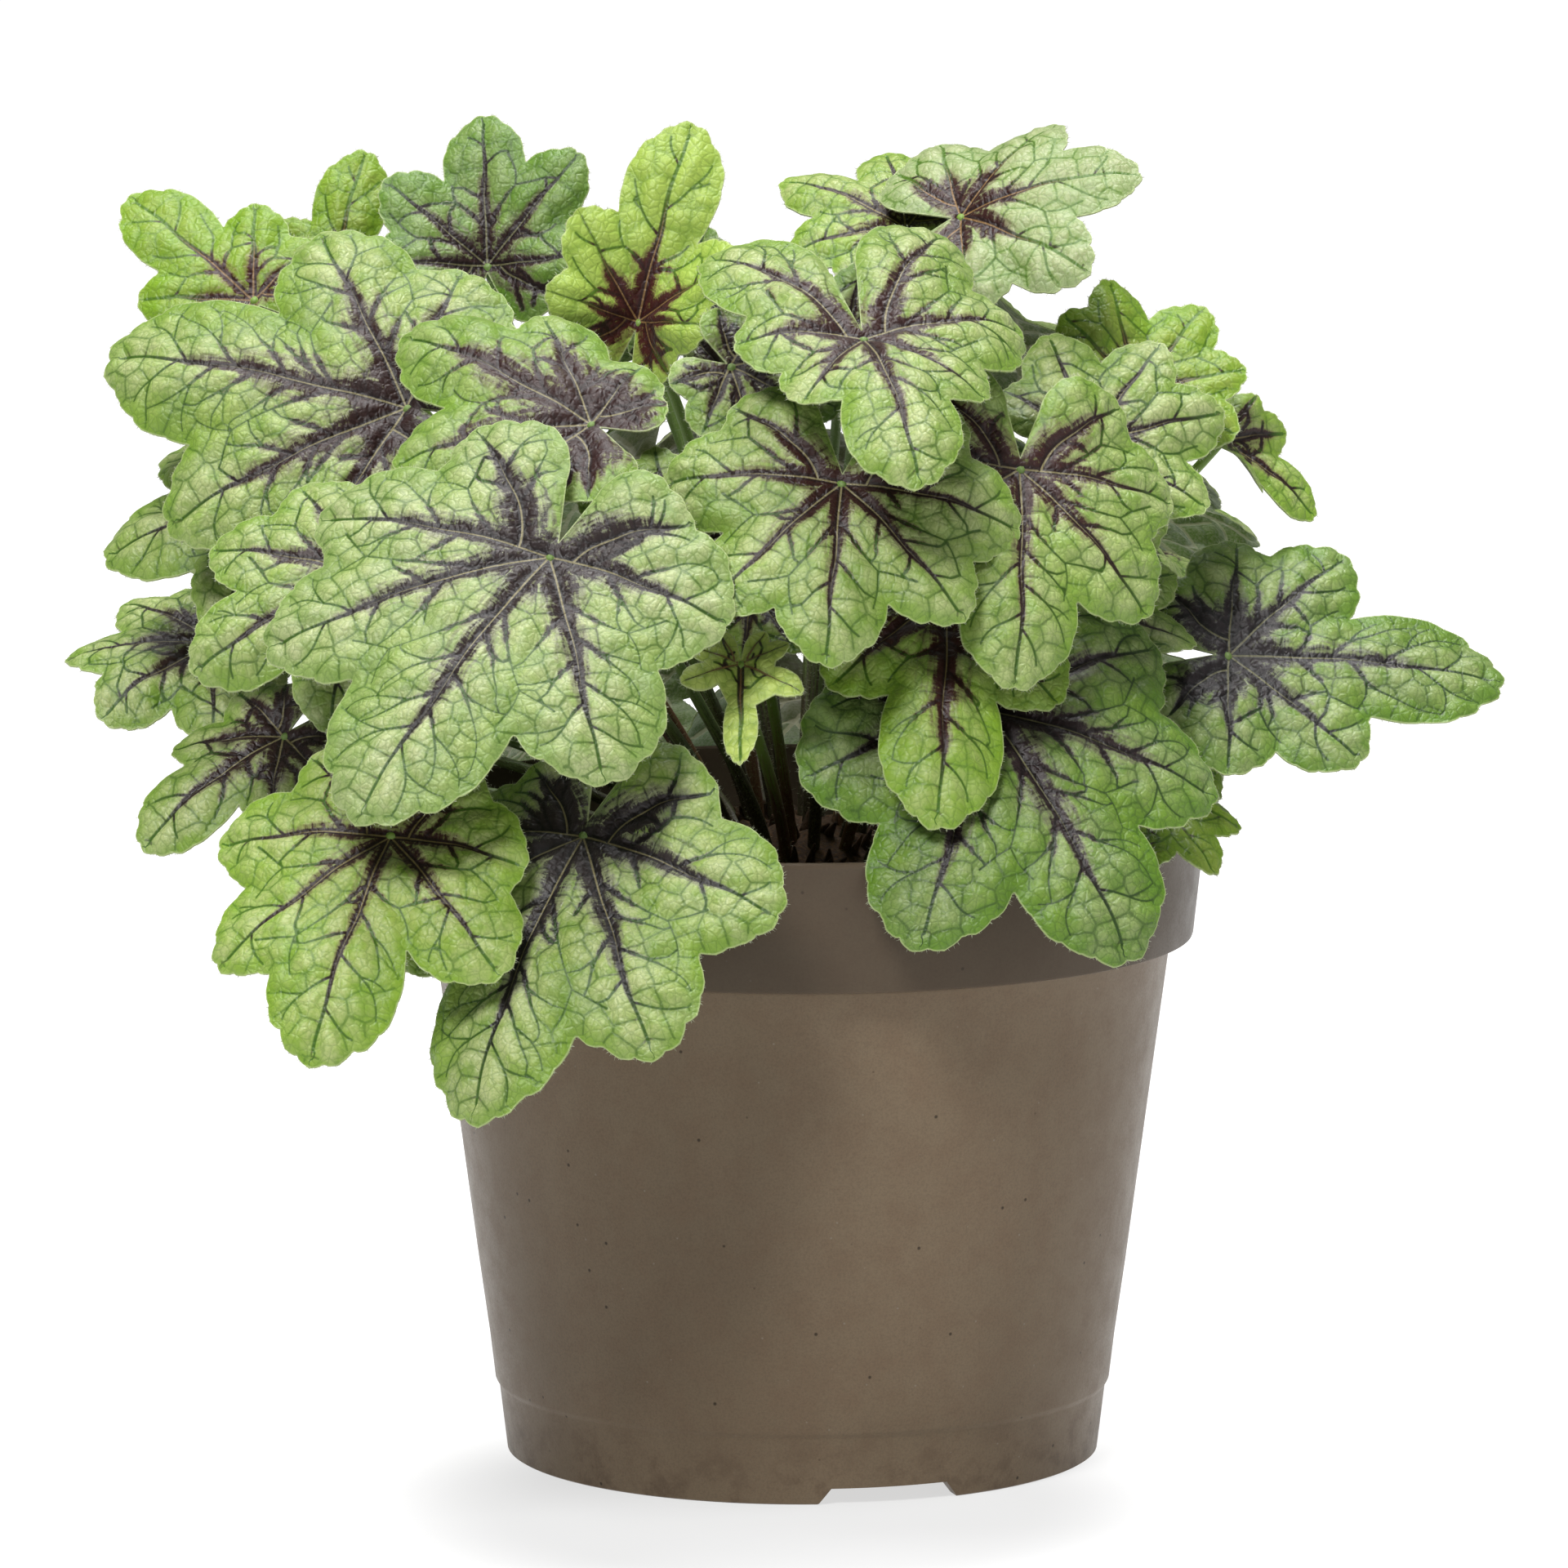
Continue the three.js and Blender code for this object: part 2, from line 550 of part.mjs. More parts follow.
/** The stalk's curve: up out of its socket, then over to the blade from below it. */
function stalkCurve(leaf) {
  const foot = leaf.base.clone();
  foot.z -= STALK_SOCKET_DEPTH;
  const span = foot.distanceTo(leaf.junction);
  const ahead = leaf.junction.clone().sub(foot).normalize();
  const below = ahead.clone().addScaledVector(leaf.facing, STALK_LEAN).normalize();
  const arrival = leaf.junction.clone().addScaledVector(below, -span * STALK_HANDLE);
  const rise = new THREE.Vector3(ahead.x, ahead.y, ahead.z + STALK_LEAN).normalize();
  const departure = foot.clone().addScaledVector(rise, span * STALK_HANDLE);
  return new THREE.CubicBezierCurve3(foot, departure, arrival.add(leaf.bow), leaf.junction);
}

/** The points that a stalk's straight stretches join. */
function stalkPoints(leaf) {
  return stalkCurve(leaf).getSpacedPoints(STALK_STEPS);
}

function stalkSolid(leaf) {
  const section = new THREE.Shape();
  for (let i = 0; i < STALK_SIDES; i += 1) {
    const turn = (i * 2 * Math.PI) / STALK_SIDES;
    const corner = [STALK_RADIUS * Math.cos(turn), STALK_RADIUS * Math.sin(turn)];
    if (i === 0) {
      section.moveTo(...corner);
    } else {
      section.lineTo(...corner);
    }
  }
  const extrudePath = stalkCurve(leaf);
  return toSolid(new THREE.ExtrudeGeometry(section, { steps: STALK_STEPS, extrudePath }));
}

/** A form with all but its middle lobe turned and drawn out a little, its own way for each leaf. */
function irregular({ angles, reach, width }, phase) {
  const middle = (angles.length - 1) / 2;
  return {
    angles: angles.map((angle, lobe) => {
      const wave = Math.sin(ANGLE_WOBBLE.frequency * lobe + phase);
      return lobe === middle ? angle : angle + ANGLE_WOBBLE.turn * wave;
    }),
    reach: reach.map((share, lobe) => {
      const wave = Math.sin(REACH_WOBBLE.frequency * lobe + 2 * phase);
      return lobe === middle ? share : share * (1 + REACH_WOBBLE.share * wave);
    }),
    width,
  };
}

function makeLeaf(age, form, posture, junction, tip, facing, bow) {
  const chord = junction.distanceTo(tip);
  const halfBend = radians(POSTURES[posture].tipBend / 2);
  return {
    age,
    form: FORMS[form],
    posture: POSTURES[posture],
    junction,
    tip,
    facing,
    bow,
    size: (chord * halfBend) / Math.sin(halfBend),
  };
}

/** The leaves on the near side, each placed by hand. */
function frontLeaves() {
  return FRONT_LEAVES.map(([age, form, posture, junction, tip, azimuth, elevation, bow = [0, 0, 0]]) => {
    const [start, end, aside] = [junction, tip, bow].map((point) => new THREE.Vector3(...point));
    return makeLeaf(age, form, posture, start, end, direction(azimuth, elevation), aside);
  });
}

/** The leaves of one tier, evenly spread from its first azimuth to its last. */
function tierLeaves({ count, radius, height, size, from, to, lookUp, droop }) {
  return Array.from({ length: count }, (_, i) => {
    const azimuth = from + ((to - from) * i) / (count - 1);
    const wobble = Math.sin(TIER_WOBBLE.frequency * i + height);
    const junction = direction(azimuth, 0).multiplyScalar(radius);
    junction.z = height + TIER_WOBBLE.rise * wobble;
    const heading = direction(azimuth + TIER_WOBBLE.turn * wobble, -droop);
    const tip = junction.clone().addScaledVector(heading, size * (1 + TIER_WOBBLE.growth * wobble));
    const facing = direction(azimuth + LAP_TURN, lookUp);
    const form = i % 3 ? "maple" : "round";
    return makeLeaf(i % 2 ? "old" : "mature", form, "dome", junction, tip, facing, new THREE.Vector3());
  });
}

function allLeaves() {
  const leaves = [...frontLeaves(), ...TIERS.flatMap(tierLeaves)];
  const bases = stalkBases(leaves);
  leaves.forEach((leaf, i) => {
    leaf.phase = PHASE_STEP * i;
    leaf.base = bases[i];
    leaf.form = irregular(leaf.form, leaf.phase);
  });
  return leaves;
}

// ---- assembly ---------------------------------------------------------------
/** A plain material from its colour and roughness. */
function finish(color, roughness) {
  return new THREE.MeshStandardMaterial({ color, roughness, metalness: 0 });
}

const MATERIALS = {
  pot: finish(0x655a4e, 0.45),
  soil: finish(0x1d1712, 0.95),
  crown: finish(0x4a3a26, 0.9),
  mature: finish(0xa6c78a, 0.5),
  light: finish(0xb4d77a, 0.5),
  young: finish(0xa5d455, 0.5),
  old: finish(0x6f9a5c, 0.5),
};

function namedMesh(name, geometry, material) {
  const mesh = new THREE.Mesh(geometry, material);
  mesh.name = name;
  return mesh;
}

function buildPlant() {
  const plant = new THREE.Group();
  const leaves = allLeaves();
  plant.add(namedMesh("pot", potGeometry(), MATERIALS.pot));
  plant.add(namedMesh("soil", soilGeometry(), MATERIALS.soil));
  plant.add(namedMesh("crown", crownGeometry(leaves), MATERIALS.crown));
  leaves.forEach((leaf, i) => {
    const solid = bladeSolid(leaf).add(stalkSolid(leaf));
    const name = `leaf_${String(i + 1).padStart(2, "0")}`;
    plant.add(namedMesh(name, toGeometry(solid), MATERIALS[leaf.age]));
  });
  const box = new THREE.Box3().setFromObject(plant);
  plant.position.set(-(box.min.x + box.max.x) / 2, -(box.min.y + box.max.y) / 2, 0);
  return plant;
}

export default buildPlant();
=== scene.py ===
"""Heuchera in its nursery pot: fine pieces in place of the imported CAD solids.

Lengths are in millimetres from the pot's axis until a mesh is made, then in metres in the frame.
"""
import math

import bpy
import numpy as np
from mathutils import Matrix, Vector, geometry
from mathutils.kdtree import KDTree


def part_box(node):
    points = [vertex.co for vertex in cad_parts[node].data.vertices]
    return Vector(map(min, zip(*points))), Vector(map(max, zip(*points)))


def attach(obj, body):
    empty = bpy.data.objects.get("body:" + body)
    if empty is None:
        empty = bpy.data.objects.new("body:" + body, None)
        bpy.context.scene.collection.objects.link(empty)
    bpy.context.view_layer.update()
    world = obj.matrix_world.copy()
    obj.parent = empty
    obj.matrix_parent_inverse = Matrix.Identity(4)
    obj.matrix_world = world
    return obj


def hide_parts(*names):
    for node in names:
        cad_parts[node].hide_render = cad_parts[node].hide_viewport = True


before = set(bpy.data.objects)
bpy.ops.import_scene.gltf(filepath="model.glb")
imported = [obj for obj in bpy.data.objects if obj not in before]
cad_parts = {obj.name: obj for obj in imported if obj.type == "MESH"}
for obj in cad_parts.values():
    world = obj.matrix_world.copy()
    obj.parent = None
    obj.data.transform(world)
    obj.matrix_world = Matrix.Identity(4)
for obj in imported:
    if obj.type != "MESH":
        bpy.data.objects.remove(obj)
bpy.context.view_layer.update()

POT_LOW, POT_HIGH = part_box("pot")
AXIS = np.array([(POT_LOW[0] + POT_HIGH[0]) / 2, (POT_LOW[1] + POT_HIGH[1]) / 2, 0.0])

# ---- the leaf table, as the CAD has it ----
LOBE_LENGTH = 0.36
TOOTH_SPACING = 1.25
TOOTH_DEPTH = 0.03
RUFFLE = 1.3
# for each lobe: degrees from the middle one, reach, half width
FORMS = {
    "maple": (
        [-126, -90, -46, 0, 46, 90, 126],
        [0.56, 0.7, 0.87, 1, 0.87, 0.7, 0.56],
        [0.22, 0.25, 0.245, 0.26, 0.245, 0.25, 0.22],
    ),
    "leaningLeft": (
        [-122, -76, -38, 0, 49, 96, 136],
        [0.5, 0.68, 0.88, 1, 0.72, 0.56, 0.44],
        [0.2, 0.22, 0.22, 0.26, 0.23, 0.23, 0.2],
    ),
    "leaningRight": (
        [-136, -96, -49, 0, 38, 76, 122],
        [0.44, 0.56, 0.72, 1, 0.88, 0.68, 0.5],
        [0.2, 0.23, 0.23, 0.26, 0.22, 0.22, 0.2],
    ),
    "spreading": (
        [-148, -100, -46, 0, 48, 94, 146],
        [0.88, 0.6, 0.56, 1, 0.64, 0.86, 0.9],
        [0.26, 0.2, 0.2, 0.27, 0.23, 0.28, 0.27],
    ),
    "round": (
        [-128, -86, -43, 0, 43, 86, 128],
        [0.74, 0.88, 0.94, 1, 0.94, 0.88, 0.74],
        [0.26, 0.28, 0.26, 0.28, 0.26, 0.28, 0.26],
    ),
    "lopsided": (
        [-126, -84, -40, 0, 40, 80, 122],
        [0.34, 0.4, 0.7, 1, 0.82, 0.68, 0.46],
        [0.15, 0.18, 0.21, 0.25, 0.23, 0.23, 0.21],
    ),
    "long": (
        [-130, -88, -44, 0, 44, 88, 130],
        [0.38, 0.48, 0.62, 1, 0.62, 0.48, 0.38],
        [0.16, 0.18, 0.19, 0.24, 0.19, 0.18, 0.16],
    ),
    "young": (
        [-148, -104, -60, 0, 60, 104, 148],
        [0.38, 0.46, 0.62, 1, 0.62, 0.46, 0.38],
        [0.1, 0.11, 0.13, 0.15, 0.13, 0.11, 0.1],
    ),
}
# fold, tip bend, side bend, base bend in degrees
POSTURES = {
    "flat": (6, 12, 14, 10),
    "dome": (6, 28, 34, 26),
    "drape": (8, 48, 46, 30),
    "cup": (24, 14, 22, 8),
    "keel": (46, 22, 34, 12),
}
# age, form, posture, where the stalk ends, where the tip is, azimuth and elevation of the face, and
# how far the stalk's bow leans aside
FRONT_LEAVES = [
    ("mature", "leaningLeft", "dome", (-45, -74, 176), (-79, -105, 133), -97, 38),
    ("mature", "round", "dome", (7, -64, 188), (4, -85, 158), -88, 35, (0, 6, 0)),
    ("mature", "maple", "dome", (39, -51, 189), (38, -73, 152), -72, 30, (14, 10, 0)),
    ("mature", "spreading", "drape", (11, -56, 213), (21, -87, 190), -80, 55),
    ("light", "leaningLeft", "dome", (-73, -89, 128), (-87, -113, 91), -102, 32, (-6, 0, 8)),
    ("mature", "lopsided", "dome", (-39, -82, 127), (-59, -110, 80), -114, 30, (0, 0, 6)),
    ("old", "maple", "dome", (33, -56, 146), (59, -80, 104), -75, 35),
    ("light", "long", "dome", (26, -51, 166), (24, -80, 128), -83, 30, (4, 0, 0)),
    ("young", "young", "cup", (-11, -68, 156), (-11, -82, 140), -90, 45),
    ("old", "long", "flat", (78, -20, 151), (129, -15, 146), -80, 40),
    ("light", "long", "keel", (77, 0, 188), (95, 1, 174), -45, 40),
    ("young", "maple", "dome", (29, -5, 230), (62, -7, 239), -110, 50, (8, 16, 0)),
    ("young", "round", "cup", (61, -10, 198), (74, 3, 213), -80, 35),
    ("mature", "round", "flat", (52, -29, 191), (77, -21, 196), -80, 35, (-10, -4, 0)),
    ("old", "maple", "cup", (-58, 5, 220), (-59, 18, 247), -95, 25, (-4, -6, 0)),
    ("mature", "leaningRight", "dome", (-72, -24, 197), (-128, -9, 205), -100, 35),
    ("young", "long", "flat", (-101, 1, 214), (-125, 18, 232), -100, 35, (8, 12, 4)),
    ("mature", "lopsided", "dome", (-38, -50, 197), (-73, -30, 211), -95, 50),
    ("young", "long", "keel", (-30, -17, 212), (-20, -9, 248), -100, 15, (6, 0, 0)),
    ("mature", "maple", "dome", (-89, -5, 178), (-129, -4, 167), -110, 50),
    ("mature", "maple", "dome", (-79, -51, 170), (-110, -58, 153), -100, 35),
    ("mature", "round", "dome", (-109, 10, 149), (-137, 11, 146), -100, 60),
    ("mature", "long", "dome", (-95, -20, 136), (-121, -30, 117), -110, 45),
    ("light", "maple", "dome", (19, 5, 227), (-4, 17, 235), -90, 55),
    ("old", "round", "flat", (7, -23, 207), (-2, -19, 223), -90, 20),
    ("old", "maple", "flat", (-22, 2, 209), (-18, 11, 227), -90, 25),
    ("mature", "round", "flat", (-13, -36, 206), (2, -38, 198), -95, 40),
    ("young", "round", "flat", (62, -36, 129), (75, -47, 115), -50, 40),
    ("mature", "round", "flat", (-24, -56, 176), (-40, -52, 188), -95, 35, (-14, 4, 0)),
    ("light", "round", "flat", (-9, -45, 166), (-11, -54, 153), -95, 35),
    ("mature", "round", "flat", (50, -24, 160), (72, -26, 154), -80, 50),
    ("young", "long", "flat", (-88, 12, 213), (-81, 22, 240), -95, 30, (8, -14, 0)),
    ("mature", "maple", "dome", (58, 28, 166), (83, 43, 151), 30, 48),
]
# the leaves at the back: count, radius, height, size, first and last azimuth, elevation of the
# faces, droop
TIERS = [
    (4, 88, 132, 44, 58, 146, 38, 48),
    (4, 80, 174, 44, 50, 142, 48, 32),
    (3, 46, 206, 34, 42, 135, 50, 34),
]
LAP_TURN = 20
TIER_LIFT = 3
TIER_SWING = 10
TIER_STRETCH = 0.08

# how the lobes of one form differ: radians from leaf to leaf, most degrees, most share of the reach,
# and how fast both change from lobe to lobe
PHASE_STEP = 2.4
LOBE_TURN, LOBE_TURN_RATE = 4, 2.7
LOBE_DRAW, LOBE_DRAW_RATE = 0.05, 1.9
MIDDLE_LOBE = 3

CROWN_RADIUS = 27
CROWN_HEIGHT = 9
SOIL_CENTRE_HEIGHT = 109
STALK_RADIUS = 1.15
STALK_SOCKET_DEPTH = 4
STALK_SPACING = 5.2
SPACING_ROUNDS = 200
BASE_MARGIN, BASE_SPREAD = 2, 1.5
CROWN_ROUNDNESS = 0.7


def unit(v):
    return v / np.linalg.norm(v)


def units(rows):
    return rows / np.maximum(np.linalg.norm(rows, axis=1, keepdims=True), 1e-6)


def direction(azimuth, elevation):
    a, e = math.radians(azimuth), math.radians(elevation)
    return np.array([math.cos(e) * math.cos(a), math.cos(e) * math.sin(a), math.sin(e)])


class Leaf:
    """One leaf's row of the table, with its size and its own axes."""

    def __init__(self, age, form, posture, junction, tip, facing, bow=(0, 0, 0)):
        self.age = age
        self.angles, self.reach, self.width = (np.array(v, float) for v in FORMS[form])
        self.bends = POSTURES[posture]
        self.junction = np.array(junction, float)
        self.tip = np.array(tip, float)
        self.facing = facing
        self.bow = np.array(bow, float)
        half = math.radians(self.bends[1] / 2)
        self.size = np.linalg.norm(self.tip - self.junction) * half / math.sin(half)
        along = unit(self.tip - self.junction)
        up = unit(facing - facing.dot(along) * along)
        self.axes = np.array([along, np.cross(up, along), up])


def set_phase(leaf, index):
    """Gives a leaf its number and turns and draws out its lobes a little, all but the middle one."""
    leaf.index = index
    leaf.phase = PHASE_STEP * index
    lobes = np.arange(len(leaf.angles))
    outer = lobes != MIDDLE_LOBE
    turn = LOBE_TURN * np.sin(LOBE_TURN_RATE * lobes + leaf.phase)
    leaf.angles = np.radians(leaf.angles + turn * outer)
    draw = LOBE_DRAW * np.sin(LOBE_DRAW_RATE * lobes + 2 * leaf.phase)
    leaf.reach = leaf.reach * (1 + draw * outer)


def tier_leaves(count, radius, height, size, first, last, look_up, droop):
    """One tier of the leaves that fill the back, spread evenly round it."""
    leaves = []
    for i in range(count):
        azimuth = first + (last - first) * i / (count - 1)
        wobble = math.sin(5 * i + height)
        junction = direction(azimuth, 0) * radius + np.array([0, 0, height + TIER_LIFT * wobble])
        length = size * (1 + TIER_STRETCH * wobble)
        tip = junction + direction(azimuth + TIER_SWING * wobble, -droop) * length
        facing = direction(azimuth + LAP_TURN, look_up)
        form = "maple" if i % 3 else "round"
        leaves.append(Leaf("old" if i % 2 else "mature", form, "dome", junction, tip, facing))
    return leaves


def crown_top(radius):
    """Height of the crown's domed top."""
    lift = np.cos(np.minimum(radius / CROWN_RADIUS, 1) * math.pi / 2)
    return SOIL_CENTRE_HEIGHT + CROWN_HEIGHT * np.maximum(lift, 0) ** CROWN_ROUNDNESS


def set_stalk_bases(leaves):
    """Where each stalk leaves the crown, pushed apart until they keep STALK_SPACING."""
    reach = CROWN_RADIUS - STALK_RADIUS - BASE_MARGIN
    bases = []
    for leaf in leaves:
        x, y, z = leaf.junction
        level = math.hypot(x, y)
        share = (level / math.hypot(level, z - SOIL_CENTRE_HEIGHT)) ** BASE_SPREAD
        bases.append([x / level * reach * share, y / level * reach * share])
    for _ in range(SPACING_ROUNDS):
        for i, a in enumerate(bases):
            for b in bases[i + 1:]:
                dx, dy = a[0] - b[0], a[1] - b[1]
                apart = math.hypot(dx, dy)
                lack = STALK_SPACING - apart
                if lack > 0:
                    dx, dy = dx / apart * lack / 2, dy / apart * lack / 2
                    a[0] += dx
                    a[1] += dy
                    b[0] -= dx
                    b[1] -= dy
            far = math.hypot(*a)
            if far > reach:
                a[0] *= reach / far
                a[1] *= reach / far
    for leaf, (x, y) in zip(leaves, bases):
        leaf.base = np.array([x, y, float(crown_top(math.hypot(x, y)))])


def all_leaves():
    """The leaves of the photo, then the tiers at the back, each with its stalk's base and number."""
    leaves = [
        Leaf(age, form, posture, junction, tip, direction(azimuth, elevation), *bow)
        for age, form, posture, junction, tip, azimuth, elevation, *bow in FRONT_LEAVES
    ]
    for tier in TIERS:
        leaves += tier_leaves(*tier)
    set_stalk_bases(leaves)
    for i, leaf in enumerate(leaves):
        set_phase(leaf, i)
    return leaves


# ---- blade outline ----
FINE_TOOTH_SPACING = 0.42
FINE_TOOTH_DEPTH = 0.021
TOOTH_POINT = 0.005
TOOTH_POINT_WIDTH = 0.2
LOBE_HALF_TURN = 2.3
LOBE_POINTS = 260
NOTCH_CLEARANCE = 0.008
LEAST_NOTCH = 0.3
OPEN_BASE = 0.2
STALK_GAP = 0.05
SINUS_ROUNDS = 30
# to_segments: up to this many segments each is tried, above it only the nearest few
FEW_SEGMENTS, NEAR_SEGMENTS = 40, 5


def lobe_points(leaf, lobe, phi):
    """Angle and distance of points of one lobe's outline, over the leaf's size."""
    reach = leaf.reach[lobe]
    length = reach * LOBE_LENGTH
    along = reach - length + length * np.cos(phi)
    across = leaf.width[lobe] * np.sin(phi)
    teeth = 1 - TOOTH_DEPTH * (1 - np.abs(np.cos(np.pi * phi / TOOTH_SPACING)) ** 0.8)
    turn = np.pi * phi / FINE_TOOTH_SPACING + lobe + leaf.phase
    teeth *= 1 - FINE_TOOTH_DEPTH * (1 - np.abs(np.cos(turn)) ** 0.55)
    teeth += TOOTH_POINT * np.exp(-((np.sin(turn) / TOOTH_POINT_WIDTH) ** 2))
    return leaf.angles[lobe] + np.arctan2(across, along), np.hypot(along, across) * teeth


def lobe_reach(leaf, lobe, angle):
    """How far a lobe's ellipse reaches from the stalk in one direction, 0 if it doesn't."""
    offset = angle - leaf.angles[lobe]
    length = leaf.reach[lobe] * LOBE_LENGTH
    centre = leaf.reach[lobe] - length
    u, v = math.cos(offset) / length, math.sin(offset) / leaf.width[lobe]
    a, b = u * u + v * v, u * centre / length
    root = b * b - a * ((centre / length) ** 2 - 1)
    return 0 if root < 0 or math.cos(offset) < 0 else (b + math.sqrt(root)) / a


def sinus(leaf, lobe):
    """Angle and distance of the notch between a lobe and the next."""
    low, high = leaf.angles[lobe], leaf.angles[lobe + 1]
    for _ in range(SINUS_ROUNDS):
        middle = (low + high) / 2
        if lobe_reach(leaf, lobe, middle) > lobe_reach(leaf, lobe + 1, middle):
            low = middle
        else:
            high = middle
    return low, max(lobe_reach(leaf, lobe, low), LEAST_NOTCH)


def polar(angle, distance):
    return np.stack([distance * np.cos(angle), distance * np.sin(angle)], -1)


def lobe_side(leaf, lobe, sign, limit):
    """Half of a lobe's outline, from its tip down one side to the notch at limit."""
    phi = sign * np.linspace(0, LOBE_HALF_TURN, LOBE_POINTS)
    angle, distance = lobe_points(leaf, lobe, phi)
    if limit is None:
        stop = distance < OPEN_BASE
    else:
        stop = (sign * (angle - limit[0]) > -NOTCH_CLEARANCE) | (distance < limit[1])
    end = int(np.argmax(stop)) if stop.any() else len(phi)
    return polar(angle[:end], distance[:end])


def resample(points, spacing):
    """The same line with even steps."""
    steps = np.linalg.norm(np.diff(points, axis=0), axis=1)
    run = np.concatenate([[0], np.cumsum(steps)])
    count = max(2, int(round(run[-1] / spacing)) + 1)
    at = np.linspace(0, run[-1], count)
    return np.stack([np.interp(at, run, points[:, k]) for k in range(points.shape[1])], -1)


def blade_outline(leaf, spacing):
    """The blade's outline in its own plane, counter-clockwise, with the open base first."""
    lobes = len(leaf.angles)
    notches = [sinus(leaf, lobe) for lobe in range(lobes - 1)]
    parts = [polar(np.array([-math.pi]), np.array([STALK_GAP])) * leaf.size]
    for lobe in range(lobes):
        before = notches[lobe - 1] if lobe else None
        after = notches[lobe] if lobe < lobes - 1 else None
        first = lobe_side(leaf, lobe, -1, before)[::-1]
        second = lobe_side(leaf, lobe, 1, after)[1:]
        parts.append(resample(np.vstack([first, second]) * leaf.size, spacing))
        if after:
            parts.append(polar(np.array([after[0]]), np.array([after[1]])) * leaf.size)
    return np.vstack(parts)


def inside(points, loop):
    """Which points lie inside a closed loop."""
    x, y = points[:, 0:1], points[:, 1:2]
    ax, ay = loop[:, 0], loop[:, 1]
    bx, by = np.roll(ax, -1), np.roll(ay, -1)
    crosses = (ay > y) != (by > y)
    slope = np.where(by == ay, 1e-9, by - ay)
    return (crosses & (x < (bx - ax) * (y - ay) / slope + ax)).sum(1) % 2 == 1


def tree_of(points):
    tree = KDTree(len(points))
    for i, (x, y) in enumerate(points.tolist()):
        tree.insert((x, y, 0), i)
    tree.balance()
    return tree


def to_segments(points, a, b):
    """Distance of each point from the nearest of many short segments, and which one that is."""
    if len(a) == 0:
        return np.full(len(points), 1e9), np.zeros(len(points), int)
    if len(a) > FEW_SEGMENTS:
        tree = tree_of((a + b) / 2)
        hits = [tree.find_n((x, y, 0), NEAR_SEGMENTS) for x, y in points.tolist()]
        near = np.array([[number for _, number, _ in nearest] for nearest in hits])
    else:
        near = np.tile(np.arange(len(a)), (len(points), 1))
    edge = (b - a)[near]
    off = points[:, None] - a[near]
    t = np.clip((off * edge).sum(-1) / np.maximum((edge * edge).sum(-1), 1e-9), 0, 1)
    gap = np.linalg.norm(off - t[..., None] * edge, axis=-1)
    rows, best = np.arange(len(points)), gap.argmin(1)
    return gap[rows, best], near[rows, best]


def pairs_of(line):
    return line[:-1], line[1:]


def all_pairs(lines):
    if not lines:
        return np.zeros((0, 2)), np.zeros((0, 2))
    return np.vstack([line[:-1] for line in lines]), np.vstack([line[1:] for line in lines])


# ---- veins ----
MAIN_VEIN_REACH = 0.93
MAIN_VEIN_POINTS = 30
# how a main vein leaves its lobe's line: at the stalk, and in a small zigzag on its way
MAIN_TURN, MAIN_ZIGZAG, ZIGZAG_RATE = 0.2, 0.05, 13
OUTER_VEIN_FROM = 4
TRACE_STEP, MAIN_TRACE_STEP = 0.5, 0.8
SIDE_VEIN_STEP = 1.2
SIDE_VEIN_SPACING = 14
SIDE_VEIN_LEAN = (42, 56)
SIDE_VEIN_GAP = 1.4
SIDE_VEIN_KINK = 0.24
KINK_EVERY = 3
# share of the slant that a side vein keeps, and what it loses with each step
LEAST_SLANT, SLANT_LOSS = 0.35, 0.028
# how far in from the rim side veins turn along it, at most and as a share of the blade's size,
# where that starts, how strong it is, and how fast a vein turns
ROUTE, ROUTE_SHARE = 4.2, 0.085
ROUTE_START, ROUTE_PULL, TURNING = 1.8, 0.55, 1.1
# where the side veins of a main vein start, as shares of it, and how far each may shift
FIRST_SIDE_VEIN, OUTER_FIRST_SIDE_VEIN, LAST_SIDE_VEIN = 0.3, 0.45, 0.82
SIDE_VEIN_SHIFT = 0.35
RIM_STOP = 1.7
MAIN_STOP = 1.6
FORK_FROM = 5
FORK_LEAN = 0.6
LEAST_VEIN = 3
SIDE_VEIN_STEPS, FORK_STEPS, NOTCH_FORK_STEPS = 26, 12, 6
# where on its main vein a notch's vein starts and leans to, and the slant of its fork
NOTCH_FROM, NOTCH_LEAN_TO, NOTCH_FORK_LEAN = 7, 14, 0.7


def main_veins(leaf):
    """One vein into each lobe, bending to its tip. The outermost two start beside the next ones."""
    t = np.linspace(0, 1, MAIN_VEIN_POINTS)
    lines = []
    for lobe, angle in enumerate(leaf.angles):
        zigzag = MAIN_ZIGZAG * np.sin(ZIGZAG_RATE * t + 2 * lobe + leaf.phase) * t * (1 - t)
        turn = MAIN_TURN * angle / math.pi * (1 - t) ** 2
        lines.append(polar(angle + turn + zigzag, MAIN_VEIN_REACH * leaf.reach[lobe] * leaf.size * t))
    for outer, inner in ((0, 1), (-1, -2)):
        lines[outer] = lines[outer] + ((1 - t) ** 3)[:, None] * lines[inner][OUTER_VEIN_FROM]
    return lines


class Spots:
    """Points of placed lines in a coarse grid, to find one near a place."""

    def __init__(self, gap):
        self.gap, self.cells = gap, {}

    def key(self, point):
        return int(point[0] // self.gap), int(point[1] // self.gap)

    def add(self, line):
        for point in resample(line, TRACE_STEP):
            self.cells.setdefault(self.key(point), []).append(point)

    def near(self, point):
        column, row = self.key(point)
        for c in (column - 1, column, column + 1):
            for r in (row - 1, row, row + 1):
                for spot in self.cells.get((c, r), ()):
                    if math.dist(spot, point) < self.gap:
                        return spot
        return None


